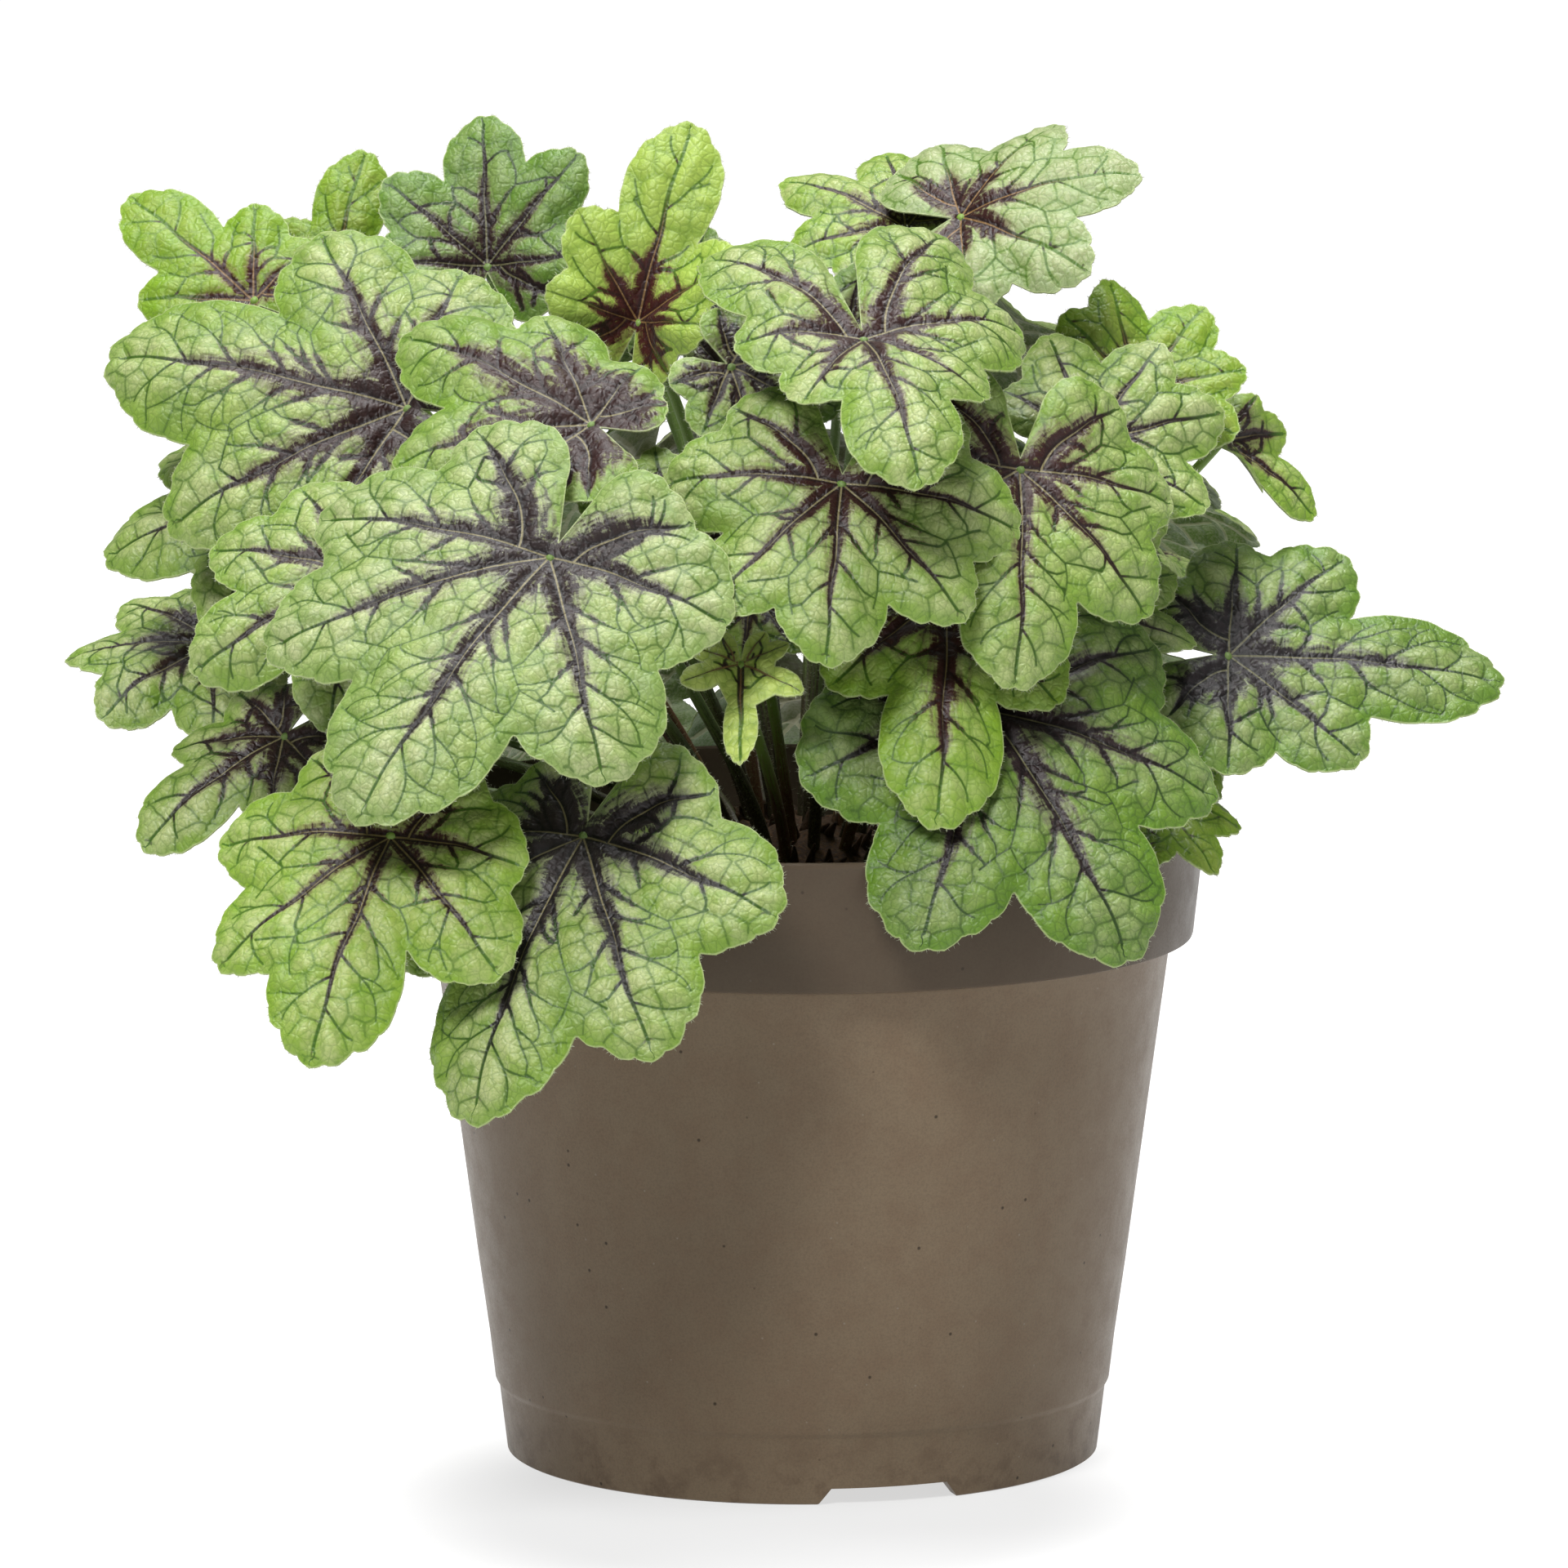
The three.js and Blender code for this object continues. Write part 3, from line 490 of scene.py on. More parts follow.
class Steering:
    """What side veins feel their way by: the margin, the main veins and the veins placed so far."""

    def __init__(self, leaf, outline, mains):
        self.route = min(ROUTE, ROUTE_SHARE * leaf.size)
        self.outline = outline
        self.rim = tree_of(outline)
        dense = [resample(main, MAIN_TRACE_STEP) for main in mains]
        self.mains = tree_of(np.vstack(dense))
        self.owner = np.repeat(np.arange(len(mains)), [len(d) for d in dense])
        self.placed = Spots(SIDE_VEIN_GAP)

    def along_rim(self, point, ahead):
        """Distance to the margin, and the way along it that agrees with ahead."""
        _, k, gap = self.rim.find((*point, 0))
        along = unit(self.outline[(k + 3) % len(self.outline)] - self.outline[k - 3])
        return gap, along * (1 if along.dot(ahead) > 0 else -1)


def arch(steering, start, ahead, lean, lobe, steps, rng):
    """A side vein: off at a slant, a little forward and on until it meets a vein or the margin."""
    line, point = [start], start
    heading = math.atan2(ahead[1], ahead[0])
    way = np.array([math.cos(heading + lean), math.sin(heading + lean)])
    route = steering.route
    kink = 0.0
    for turn in range(steps):
        if turn % KINK_EVERY == KINK_EVERY - 1:
            kink = rng.uniform(-SIDE_VEIN_KINK, SIDE_VEIN_KINK)
        bend = heading + lean * max(LEAST_SLANT, 1 - turn * SLANT_LOSS) + kink
        free = np.array([math.cos(bend), math.sin(bend)])
        rim, along = steering.along_rim(point, way)
        pull = ROUTE_PULL * min(1.0, max(0.0, (ROUTE_START * route - rim) / route))
        way = unit(way + TURNING * (free * (1 - pull) + along * pull))
        point = point + SIDE_VEIN_STEP * way
        spot, near, gap = steering.mains.find((*point, 0))
        met = steering.placed.near(point) if turn > 1 else None
        if met is not None:
            line.append(met)
            break
        if turn > 2 and gap < MAIN_STOP:
            line.append(np.array(spot[:2]))
            break
        if steering.rim.find((*point, 0))[2] < RIM_STOP or lobe not in (None, steering.owner[near]):
            break
        line.append(point)
    return np.array(line)


def notch_veins(leaf, mains, steering, rng):
    """A forked vein to each notch, from the main vein on its inner side."""
    lines = []
    for lobe in range(len(mains) - 1):
        angle, distance = sinus(leaf, lobe)
        main = mains[lobe if leaf.angles[lobe] >= 0 else lobe + 1]
        start = main[NOTCH_FROM]
        end = polar(angle, distance * leaf.size - 2.0 * steering.route)
        middle = (start + end) / 2 + 0.15 * (main[NOTCH_LEAN_TO] - start)
        t = np.linspace(0, 1, 12)[:, None]
        stem = (1 - t) ** 2 * start + 2 * t * (1 - t) * middle + t * t * end
        lines.append(stem)
        for side in (-1, 1):
            lean = side * NOTCH_FORK_LEAN
            fork = arch(steering, end, end - stem[-3], lean, None, NOTCH_FORK_STEPS, rng)
            if len(fork) > LEAST_VEIN:
                lines.append(fork)
    return lines


def side_veins(leaf, outline, mains, rng):
    """Arching veins from both sides of each main vein, and a forked one to each notch."""
    steering = Steering(leaf, outline, mains)
    lines = notch_veins(leaf, mains, steering, rng)
    for line in lines:
        steering.placed.add(line)
    for lobe, main in enumerate(mains):
        count = max(1, int(leaf.reach[lobe] * leaf.size / SIDE_VEIN_SPACING))
        first = OUTER_FIRST_SIDE_VEIN if lobe in (0, len(mains) - 1) else FIRST_SIDE_VEIN
        for n in reversed(range(2 * count)):
            side = 1 if n % 2 else -1
            place = (n + rng.uniform(-SIDE_VEIN_SHIFT, SIDE_VEIN_SHIFT)) / (2 * count - 1)
            share = first + (LAST_SIDE_VEIN - first) * place
            k = int(np.clip(share * (MAIN_VEIN_POINTS - 1), 1, MAIN_VEIN_POINTS - 2))
            lean = side * math.radians(rng.uniform(*SIDE_VEIN_LEAN))
            ahead = main[k + 1] - main[k - 1]
            line = arch(steering, main[k], ahead, lean, lobe, SIDE_VEIN_STEPS, rng)
            if len(line) > LEAST_VEIN:
                lines.append(line)
                steering.placed.add(line[2:])
            if len(line) > FORK_FROM + 4:
                ahead = line[FORK_FROM + 1] - line[FORK_FROM - 1]
                lean = side * FORK_LEAN
                fork = arch(steering, line[FORK_FROM], ahead, lean, lobe, FORK_STEPS, rng)
                if len(fork) > LEAST_VEIN:
                    lines.append(fork)
                    steering.placed.add(fork[2:])
    return lines


def grid_seeds(lines, spacing, gap):
    """Points in pairs on both sides of each line, so that the net between them meets it squarely."""
    seeds = []
    for line in lines:
        even = resample(line, spacing)
        if len(even) < 2:
            continue
        ahead = np.gradient(even, axis=0)
        across = units(np.stack([-ahead[:, 1], ahead[:, 0]], -1))
        middle = (even[1:] + even[:-1]) / 2
        aside = (across[1:] + across[:-1]) / 2 * gap
        seeds += [pair for m, s in zip(middle, aside) for pair in ((m + s), (m - s))]
    return seeds


def keep_apart(seeds, spacing):
    """Drops seeds that come nearer to an earlier one than spacing."""
    kept = np.zeros((0, 2))
    for seed in seeds:
        if len(kept) == 0 or ((kept - seed) ** 2).sum(1).min() > spacing * spacing:
            kept = np.vstack([kept, seed])
    return kept


def triangulate(points, edges, faces, kind):
    verts, _, tris, *_ = geometry.delaunay_2d_cdt(
        [Vector((float(x), float(y))) for x, y in points], edges, faces, kind, 1e-4
    )
    return np.array([[v.x, v.y] for v in verts]), np.array([t for t in tris if len(t) == 3])


# shares of a cell's width: steps of the seeds and their distances from veins and rim, the least
# distance between seeds, and how near a vein a corner of the net moves onto it
SEED_STEP, SEED_ASIDE, SEED_INSIDE = 0.9, 0.42, 0.55
SEED_SPACING = 0.7
SEED_TRIES = 6
SNAP = 0.2
# in millimetres: how near the rim the net stops, its shortest line, its steps and its wobble
NET_RIM, NET_RIM_STOP = 1.0, 0.6
LEAST_NET, NET_STEP, NET_WOBBLE = 0.5, 1.3, 0.16


def net_seeds(outline, mains, sides, rng, cell):
    """One seed for each cell of the net: beside the larger veins and the rim, then anywhere."""
    rim = np.vstack([outline, outline[:1]])
    seeds = grid_seeds(mains + sides, cell * SEED_STEP, cell * SEED_ASIDE)
    seeds += grid_seeds([rim], cell, cell * SEED_INSIDE)
    low, high = outline.min(0) - cell, outline.max(0) + cell
    count = int((high - low).prod() / cell**2 * SEED_TRIES)
    seeds += list(rng.uniform(low, high, (count, 2)))
    return keep_apart(seeds, cell * SEED_SPACING)


def circle_centres(points, tris):
    """Centre of the circle through the corners of each triangle."""
    a, b, c = (points[tris[:, k]] for k in range(3))
    d = 2 * (
        a[:, 0] * (b[:, 1] - c[:, 1]) + b[:, 0] * (c[:, 1] - a[:, 1]) + c[:, 0] * (a[:, 1] - b[:, 1])
    )
    d = np.where(np.abs(d) < 1e-9, 1e-9, d)
    aa, bb, cc = ((v * v).sum(1) for v in (a, b, c))
    x = (aa * (b[:, 1] - c[:, 1]) + bb * (c[:, 1] - a[:, 1]) + cc * (a[:, 1] - b[:, 1])) / d
    y = (aa * (c[:, 0] - b[:, 0]) + bb * (a[:, 0] - c[:, 0]) + cc * (b[:, 0] - a[:, 0])) / d
    return np.stack([x, y], -1)


def snap_to_veins(centres, veins, reach):
    """Moves the points that are near a vein onto it, and says which they are."""
    vein_a, vein_b = all_pairs(veins)
    gap, which = to_segments(centres, vein_a, vein_b)
    edge = vein_b[which] - vein_a[which]
    t = ((centres - vein_a[which]) * edge).sum(1) / np.maximum((edge * edge).sum(1), 1e-9)
    foot = vein_a[which] + np.clip(t, 0, 1)[:, None] * edge
    on_vein = gap < reach
    centres[on_vein] = foot[on_vein]
    return on_vein


def net_lines(outline, mains, sides, rng, cell):
    """The mesh of small veins: the borders of cells round seeds that stand beside the larger veins."""
    seeds = net_seeds(outline, mains, sides, rng, cell)
    points, tris = triangulate(seeds, [], [], 0)
    centres = circle_centres(points, tris)
    rim_gap = to_segments(centres, outline, np.roll(outline, -1, 0))[0]
    on_vein = snap_to_veins(centres, mains + sides, SNAP * cell)
    good = inside(centres, outline) & (rim_gap > NET_RIM)
    owner = {}
    lines = []
    for i, tri in enumerate(tris):
        for k in range(3):
            key = tuple(sorted((int(tri[k]), int(tri[(k + 1) % 3]))))
            j = owner.setdefault(key, i)
            if j == i or not (good[i] or good[j]) or (on_vein[i] and on_vein[j]):
                continue
            start, end = (i, j) if good[i] else (j, i)
            p, q = centres[start], centres[end]
            far = np.linalg.norm(p - q)
            if not good[end]:
                q = p + (q - p) * max(0, min(1, (rim_gap[start] - NET_RIM_STOP) / max(far, 0.01)))
                far = np.linalg.norm(p - q)
            if not LEAST_NET < far < 3 * cell:
                continue
            parts = max(1, int(round(far / NET_STEP)))
            s = np.linspace(0, 1, parts + 1)[:, None]
            line = p + (q - p) * s
            normal = np.array([p[1] - q[1], q[0] - p[0]]) / far
            line[1:-1] += normal * rng.uniform(-NET_WOBBLE, NET_WOBBLE, (parts - 1, 1))
            lines.append(line)
    return lines


# ---- blade mesh ----
def blade_points(leaf, flat, lift):
    """Points of the bent blade from points of its flat plane, raised by lift along its normal."""
    distance = np.hypot(flat[:, 0], flat[:, 1])
    angle = np.arctan2(flat[:, 1], flat[:, 0])
    fold, tip_bend, side_bend, base_bend = leaf.bends
    cos = np.cos(angle)
    side = np.sin(angle) ** 2
    tip = np.where(cos > 0, cos * cos, 0)
    base = np.where(cos < 0, cos * cos, 0)
    start = np.radians(fold * side + tip_bend / 2 * tip + base_bend / 2 * base)
    curve = np.radians(tip_bend * tip + side_bend * side + base_bend * base) / leaf.size
    slope = start - curve * distance
    out = (np.sin(start) - np.sin(slope)) / curve
    edge = (distance / leaf.size) ** 2
    ruffle = RUFFLE * edge * (np.sin(3 * angle + leaf.phase) + np.sin(5 * angle - leaf.phase))
    up = (np.cos(slope) - np.cos(start)) / curve + ruffle
    local = np.stack([
        (out - lift * np.sin(slope)) * cos,
        (out - lift * np.sin(slope)) * np.sin(angle),
        up + lift * np.cos(slope),
    ], -1)
    return leaf.junction + local @ leaf.axes


# rows of the scatter, how far its points are shaken and how near they may come, over its spacing
ROW, SHAKE, LEAST_GAP = 0.87, 0.12, 0.6


def fill_points(outline, taken, spacing, rng):
    """An even scatter of points between those that the outline and the veins have."""
    low, high = outline.min(0), outline.max(0)
    nx = int((high[0] - low[0]) / spacing) + 2
    ny = int((high[1] - low[1]) / (spacing * ROW)) + 2
    gx, gy = np.meshgrid(np.arange(nx), np.arange(ny))
    grid = np.stack([gx + 0.5 * (gy % 2), gy * ROW], -1).reshape(-1, 2) * spacing + low
    grid = grid + rng.uniform(-SHAKE, SHAKE, grid.shape) * spacing
    grid = grid[inside(grid, outline)]
    tree = tree_of(taken)
    return grid[[tree.find((x, y, 0))[2] > LEAST_GAP * spacing for x, y in grid.tolist()]]


def run_along(points, line):
    """Run along a vein and signed distance across it, of each point."""
    a, b = pairs_of(line)
    steps = np.linalg.norm(b - a, axis=1)
    start = np.concatenate([[0], np.cumsum(steps)[:-1]])
    gap, which = to_segments(points, a, b)
    edge = (b - a)[which] / steps[which][:, None]
    off = points - a[which]
    along = start[which] + np.clip((off * edge).sum(1), 0, steps[which])
    side = np.sign(edge[:, 0] * off[:, 1] - edge[:, 1] * off[:, 0])
    return along, gap * np.where(side == 0, 1, side)


# step between points, width of the net's cells and step along the rim, by the blade's size
LARGE_BLADE = 30
LARGE_STEPS = (1.2, 5.2, 0.65)
SMALL_STEPS = (0.95, 4.0, 0.5)
# an edge is a false bridge if its ends are this near a vein and its middle this far from one
ON_VEIN, OFF_VEIN = 0.08, 0.22


class Blade:
    """The flat pattern of a leaf's blade: its triangles and what lies near each point."""

    def __init__(self, leaf):
        rng = np.random.default_rng(1000 + leaf.index)
        spacing, cell, rim_step = LARGE_STEPS if leaf.size > LARGE_BLADE else SMALL_STEPS
        self.outline = blade_outline(leaf, rim_step)
        mains = main_veins(leaf)
        sides = side_veins(leaf, self.outline, mains, rng)
        net = net_lines(self.outline, mains, sides, rng, cell)
        points, edges = list(self.outline), []
        for line in [resample(vein, spacing) for vein in mains + sides] + net:
            first = len(points)
            points += list(line)
            edges += [(first + k, first + k + 1) for k in range(len(line) - 1)]
        points += list(fill_points(self.outline, np.array(points), spacing, rng))
        loop = list(range(len(self.outline)))
        veins = all_pairs(mains + sides + net)
        self.points, self.tris = triangulate(points, edges, [loop], 1)
        points += list(self.false_bridges(veins))
        self.points, self.tris = triangulate(points, edges, [loop], 1)
        self.side_gap = to_segments(self.points, *all_pairs(sides))[0]
        self.net_gap = to_segments(self.points, *all_pairs(net))[0]
        self.rim_gap = to_segments(self.points, self.outline, np.roll(self.outline, -1, 0))[0]
        runs = [run_along(self.points, m) for m in mains]
        gaps = np.stack([np.abs(across) for _, across in runs])
        self.main_gap = gaps.min(0)
        owner = gaps[:, self.tris].sum(-1).argmin(0)[:, None]
        self.along = np.stack([r[0] for r in runs])[owner, self.tris]
        self.across = np.stack([r[1] for r in runs])[owner, self.tris]
        lengths = MAIN_VEIN_REACH * leaf.reach * leaf.size
        self.share = self.along / lengths[owner]

    def false_bridges(self, veins):
        """Middles of the edges that join two veins across a panel, where a vein would seem to run."""
        on_vein = to_segments(self.points, *veins)[0] < ON_VEIN
        pairs = np.sort(np.vstack([self.tris[:, [k, (k + 1) % 3]] for k in range(3)]), axis=1)
        pairs = np.unique(pairs[on_vein[pairs].all(1)], axis=0)
        middles = (self.points[pairs[:, 0]] + self.points[pairs[:, 1]]) / 2
        return middles[to_segments(middles, *veins)[0] > OFF_VEIN]

    def rim(self):
        """Directed edges round the outside."""
        seen = {}
        for tri in self.tris:
            for k in range(3):
                a, b = int(tri[k]), int(tri[(k + 1) % 3])
                if (b, a) in seen:
                    del seen[(b, a)]
                else:
                    seen[(a, b)] = True
        return np.array(list(seen))


def waves(points, phase, length):
    """A smooth undulation from a few crossed sine waves."""
    total = np.zeros(len(points))
    for n in range(4):
        turn = phase + 1.3 * n
        along = points[:, 0] * math.cos(turn) + points[:, 1] * math.sin(turn)
        total += np.sin(along * 2 * math.pi / (length * (1 + 0.23 * n)) + 2.1 * n + phase)
    return total / 4


def hump(gap, width):
    """0 at a gap of 0, rising to 1 beyond that width."""
    return 1 - np.exp(-((gap / width) ** 2))


# height and width of each form of the relief: puffed between large veins and between all veins,
# sunk along main veins, domed lobes over a low margin, a long roll, and all of it low at the rim
PUFF, PUFF_WIDTH = 0.95, 2.4
FINE_PUFF, FINE_PUFF_WIDTH = 0.5, 0.95
GROOVE, GROOVE_WIDTH = 0.35, 1.0
DOME, DOME_WIDTH, DOME_SINK = 1.7, 6.0, 1.3
ROLL, ROLL_LENGTH = 0.7, 0.42
RIM_WIDTH = 1.3
WHOLE_RELIEF_SIZE = 48
FLAT_CENTRE = 0.25
RIM_THICKNESS, ADDED_THICKNESS, THICKNESS_WIDTH = 0.3, 0.3, 2.5


def blade_relief(leaf, blade):
    """Height of the quilting: puffed between the veins, sunk along them, low at the margin."""
    scale = min(1.0, leaf.size / WHOLE_RELIEF_SIZE)
    large = np.minimum(blade.side_gap, blade.main_gap)
    every = np.minimum(large, blade.net_gap)
    puff = PUFF * scale * hump(large, PUFF_WIDTH) + FINE_PUFF * hump(every, FINE_PUFF_WIDTH)
    groove = GROOVE * (1 - hump(blade.main_gap, GROOVE_WIDTH))
    dome = DOME * scale * hump(blade.rim_gap, DOME_WIDTH * scale) - DOME_SINK * scale
    roll = ROLL * scale * waves(blade.points, leaf.phase, ROLL_LENGTH * leaf.size)
    near_stalk = np.minimum(1, np.hypot(*blade.points.T) / (FLAT_CENTRE * leaf.size))
    return (puff - groove) * hump(blade.rim_gap, RIM_WIDTH) + (dome + roll) * near_stalk


def blade_thickness(blade):
    return RIM_THICKNESS + ADDED_THICKNESS * hump(blade.rim_gap, THICKNESS_WIDTH)


# ---- stalks and hairs ----
def stalk_line(leaf, count):
    """The stalk's middle line, from its socket up to the back of the blade."""
    foot = leaf.base - np.array([0, 0, STALK_SOCKET_DEPTH])
    span = np.linalg.norm(foot - leaf.junction)
    ahead = unit(leaf.junction - foot)
    below = unit(ahead + 0.9 * leaf.facing)
    arrival = leaf.junction - below * span * 0.3 + leaf.bow
    departure = foot + unit(ahead + np.array([0, 0, 0.9])) * span * 0.3
    t = np.linspace(0, 1, count)[:, None]
    s = 1 - t
    return s**3 * foot + 3 * s * s * t * departure + 3 * s * t * t * arrival + t**3 * leaf.junction


def tube(line, radius, sides):
    """Vertices and faces of a closed round tube along a line, its ends drawn in to a point."""
    ahead = units(np.gradient(line, axis=0))
    normal = unit(np.cross(ahead[0], [0.3, 0.9, 0.2]))
    turn = np.linspace(0, 2 * math.pi, sides, endpoint=False)
    verts = []
    for point, way, r in zip(line, ahead, radius):
        normal = unit(normal - normal.dot(way) * way)
        other = np.cross(way, normal)
        verts.append(point + r * (np.cos(turn)[:, None] * normal + np.sin(turn)[:, None] * other))
    low_end = line[:1] - ahead[0] * radius[0] * 0.5
    high_end = line[-1:] + ahead[-1] * radius[-1] * 0.5
    verts = np.vstack(verts + [low_end, high_end])
    faces = []
    for i in range(len(line) - 1):
        for k in range(sides):
            a, b = i * sides + k, i * sides + (k + 1) % sides
            faces.append((a, b, b + sides, a + sides))
    low, high = len(verts) - 2, len(verts) - 1
    last = (len(line) - 1) * sides
    for k in range(sides):
        faces.append((low, (k + 1) % sides, k))
        faces.append((high, last + k, last + (k + 1) % sides))
    return verts, faces


def spikes(roots, ways, lengths, width, rng):
    """Closed three-sided spikes: the hairs."""
    first = units(np.cross(ways, rng.normal(size=ways.shape)))
    second = np.cross(ways, first)
    verts, faces = [], []
    for k in range(3):
        a = 2 * math.pi * k / 3
        verts.append(roots + width * (math.cos(a) * first + math.sin(a) * second))
    verts.append(roots + ways * lengths[:, None])
    verts = np.stack(verts, 1).reshape(-1, 3)
    for i in range(len(roots)):
        n = 4 * i
        faces += [(n, n + 2, n + 1), (n, n + 1, n + 3), (n + 1, n + 2, n + 3), (n + 2, n, n + 3)]
    return verts, faces


# ---- meshes ----
class MeshParts:
    """Collects shells, each with its material slot, into one mesh."""

    def __init__(self):
        self.verts, self.faces, self.slots = [], [], []
        self.count = 0

    def add(self, verts, faces, slot):
        self.verts.append(np.asarray(verts, float))
        self.faces += [tuple(int(v) + self.count for v in face) for face in faces]
        self.slots += [slot] * len(faces)
        self.count += len(verts)

    def make(self, name, materials):
        mesh = bpy.data.meshes.new(name)
        places = (np.vstack(self.verts) / 1000 + AXIS).astype(np.float32)
        mesh.from_pydata(places.tolist(), [], self.faces)
        mesh.polygons.foreach_set("material_index", self.slots)
        for material in materials:
            mesh.materials.append(material)
        mesh.polygons.foreach_set("use_smooth", [True] * len(self.faces))
        mesh.update()
        made = bpy.data.objects.new(name, mesh)
        bpy.context.scene.collection.objects.link(made)
        return made


def dress(piece, node):
    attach(piece, "root")
    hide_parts(node)


# ---- material helpers ----
LIGHT_LEVEL = 1.75
SRGB_KNEE, SRGB_SLOPE = 0.04045, 12.92


def linear(hexa):
    """Base colour that shows as this hex string under the studio light."""
    parts = [int(hexa[i:i + 2], 16) / 255 for i in (0, 2, 4)]
    parts = [c / SRGB_SLOPE if c <= SRGB_KNEE else ((c + 0.055) / 1.055) ** 2.4 for c in parts]
    return tuple(c / LIGHT_LEVEL for c in parts) + (1.0,)


class Field:
    """A node's output in plain arithmetic: each sum, difference, product or quotient is a node."""

    def __init__(self, graph, socket):
        self.graph = graph
        self.socket = socket

    def __add__(self, other):
        return self.graph.math("ADD", self, other)

    def __sub__(self, other):
        return self.graph.math("SUBTRACT", self, other)

    def __rsub__(self, other):
        return self.graph.math("SUBTRACT", other, self)

    def __mul__(self, other):
        return self.graph.math("MULTIPLY", self, other)

    def __truediv__(self, other):
        return self.graph.math("DIVIDE", self, other)

    def __abs__(self):
        return self.graph.math("ABSOLUTE", self)


class Graph:
    """Short calls for building a material's nodes."""

    def __init__(self, name):
        self.material = bpy.data.materials.new(name)
        self.material.use_nodes = True
        self.tree = self.material.node_tree
        self.shader = self.tree.nodes["Principled BSDF"]

    def put(self, socket, value):
        if isinstance(value, Field):
            self.tree.links.new(value.socket, socket)
        else:
            socket.default_value = value

    def node(self, kind, inputs=(), output=0, **settings):
        """Adds a node and gives one of its outputs."""
        made = self.tree.nodes.new(kind)
        for key, value in settings.items():
            setattr(made, key, value)
        for key, value in dict(inputs).items():
            self.put(made.inputs[key], value)
        return Field(self, made.outputs[output])

    def math(self, operation, *values):
        return self.node("ShaderNodeMath", enumerate(values), operation=operation)

    def least(self, a, b):
        return self.math("MINIMUM", a, b)

    def most(self, a, b):
        return self.math("MAXIMUM", a, b)

    def vector_math(self, operation, inputs, output=0):
        return self.node("ShaderNodeVectorMath", inputs, output, operation=operation)

    def mix(self, share, a, b):
        return self.node("ShaderNodeMix", {0: share, 6: a, 7: b}, 2, data_type="RGBA")

    def step(self, value, start, end, low=0.0, high=1.0):
        """Smooth step of value from start to end."""
        inputs = {"Value": value, "From Min": start, "From Max": end, "To Min": low, "To Max": high}
        return self.node("ShaderNodeMapRange", inputs, interpolation_type="SMOOTHSTEP")

    def line(self, gap, half, soft):
        """1 on a line of that half width, 0 beyond it."""
        return 1.0 - self.step(gap, half, half + soft)

    def noise(self, vector, scale, detail=2.0, roughness=0.5):
        inputs = {"Vector": vector, "Scale": scale, "Detail": detail, "Roughness": roughness}
        return self.node("ShaderNodeTexNoise", inputs, "Fac")

    def cells(self, vector, scale, feature="F1"):
        inputs = {"Vector": vector, "Scale": scale}
        return self.node("ShaderNodeTexVoronoi", inputs, "Distance", feature=feature)

    def vector(self, x, y, z):
        return self.node("ShaderNodeCombineXYZ", {"X": x, "Y": y, "Z": z})

    def parts(self, vector):
        split = self.node("ShaderNodeSeparateXYZ", {"Vector": vector}).socket.node
        return [Field(self, socket) for socket in split.outputs]

    def attribute(self, name):
        """The three parts of one of the mesh's vector attributes."""
        settings = dict(attribute_type="GEOMETRY", attribute_name=name)
        return self.parts(self.node("ShaderNodeAttribute", {}, "Vector", **settings))

    def places(self, factor=1000.0):
        """Object coordinates, in millimetres."""
        place = self.node("ShaderNodeTexCoord", {}, "Object")
        return self.vector_math("SCALE", {0: place, 3: factor})

    def bump(self, height, distance, strength):
        inputs = {"Height": height, "Distance": distance, "Strength": strength}
        self.put(self.shader.inputs["Normal"], self.node("ShaderNodeBump", inputs))

    def finish(self, colour, roughness, **constants):
        self.put(self.shader.inputs["Base Color"], colour)
        self.put(self.shader.inputs["Roughness"], roughness)
        for key, value in constants.items():
            self.shader.inputs[key.replace("_", " ")].default_value = value
        return self.material


# ---- leaf materials ----
# panel: between the veins. fresh: margin and young tissue. net: small veins. zone: dark zone.
# fringe: round the dark zone. line: main veins in the dark zone. core: their pale middle.
LEAF_COLOURS = {
    "mature": dict(panel="b1ca63", deep="689124", fresh="7ea92c", net="40680f", zone="302625",
                   fringe="77706a", line="140e0f", core="9a9066", silver="d1db9a", under="a3b878"),
    "light": dict(panel="b4ce54", deep="7aa728", fresh="89b622", net="4b7814", zone="40221a",
                  fringe="8f7f5c", line="200e0c", core="958654", silver="d2dc94", under="abc274"),
    "young": dict(panel="9dbd36", deep="79a526", fresh="87b422", net="537e12", zone="561a14",
                  fringe="8f703c", line="3a0f0d", core="9c794a", silver="b0c05a", under="a3c35c"),
    "old": dict(panel="90b13e", deep="507b1d", fresh="659422", net="2f5014", zone="2c2325",
                fringe="706c62", line="110c0d", core="7b7854", silver="b1c080", under="7d9460"),
}
# three of them where a leaf's dark zone is warm
WARM_ZONE = dict(zone="3f1b15", fringe="7a6450", line="250d0a")
GREYED_PANEL = "d0d3bc"
# the lime leaves' own colour, made paler as painted light on those that sit in shade
LIME_PANEL_AND_PAINTED_LIGHT = "dcf07c"
PALE_EDGE = "cfdc9c"
UNDER_VEIN = "d5d9a8"
UNDER_FLUSH = "8a5a55"
STALK_GREEN, STALK_RED = "789a46", "473a26"
YOUNG_STALK_GREEN, YOUNG_STALK_RED = "8db544", "7a4f34"
STALK_BLOOM = "b7bf8c"
HAIR_PALE, HAIR_GREEN = "e8ecd6", "b8c490"


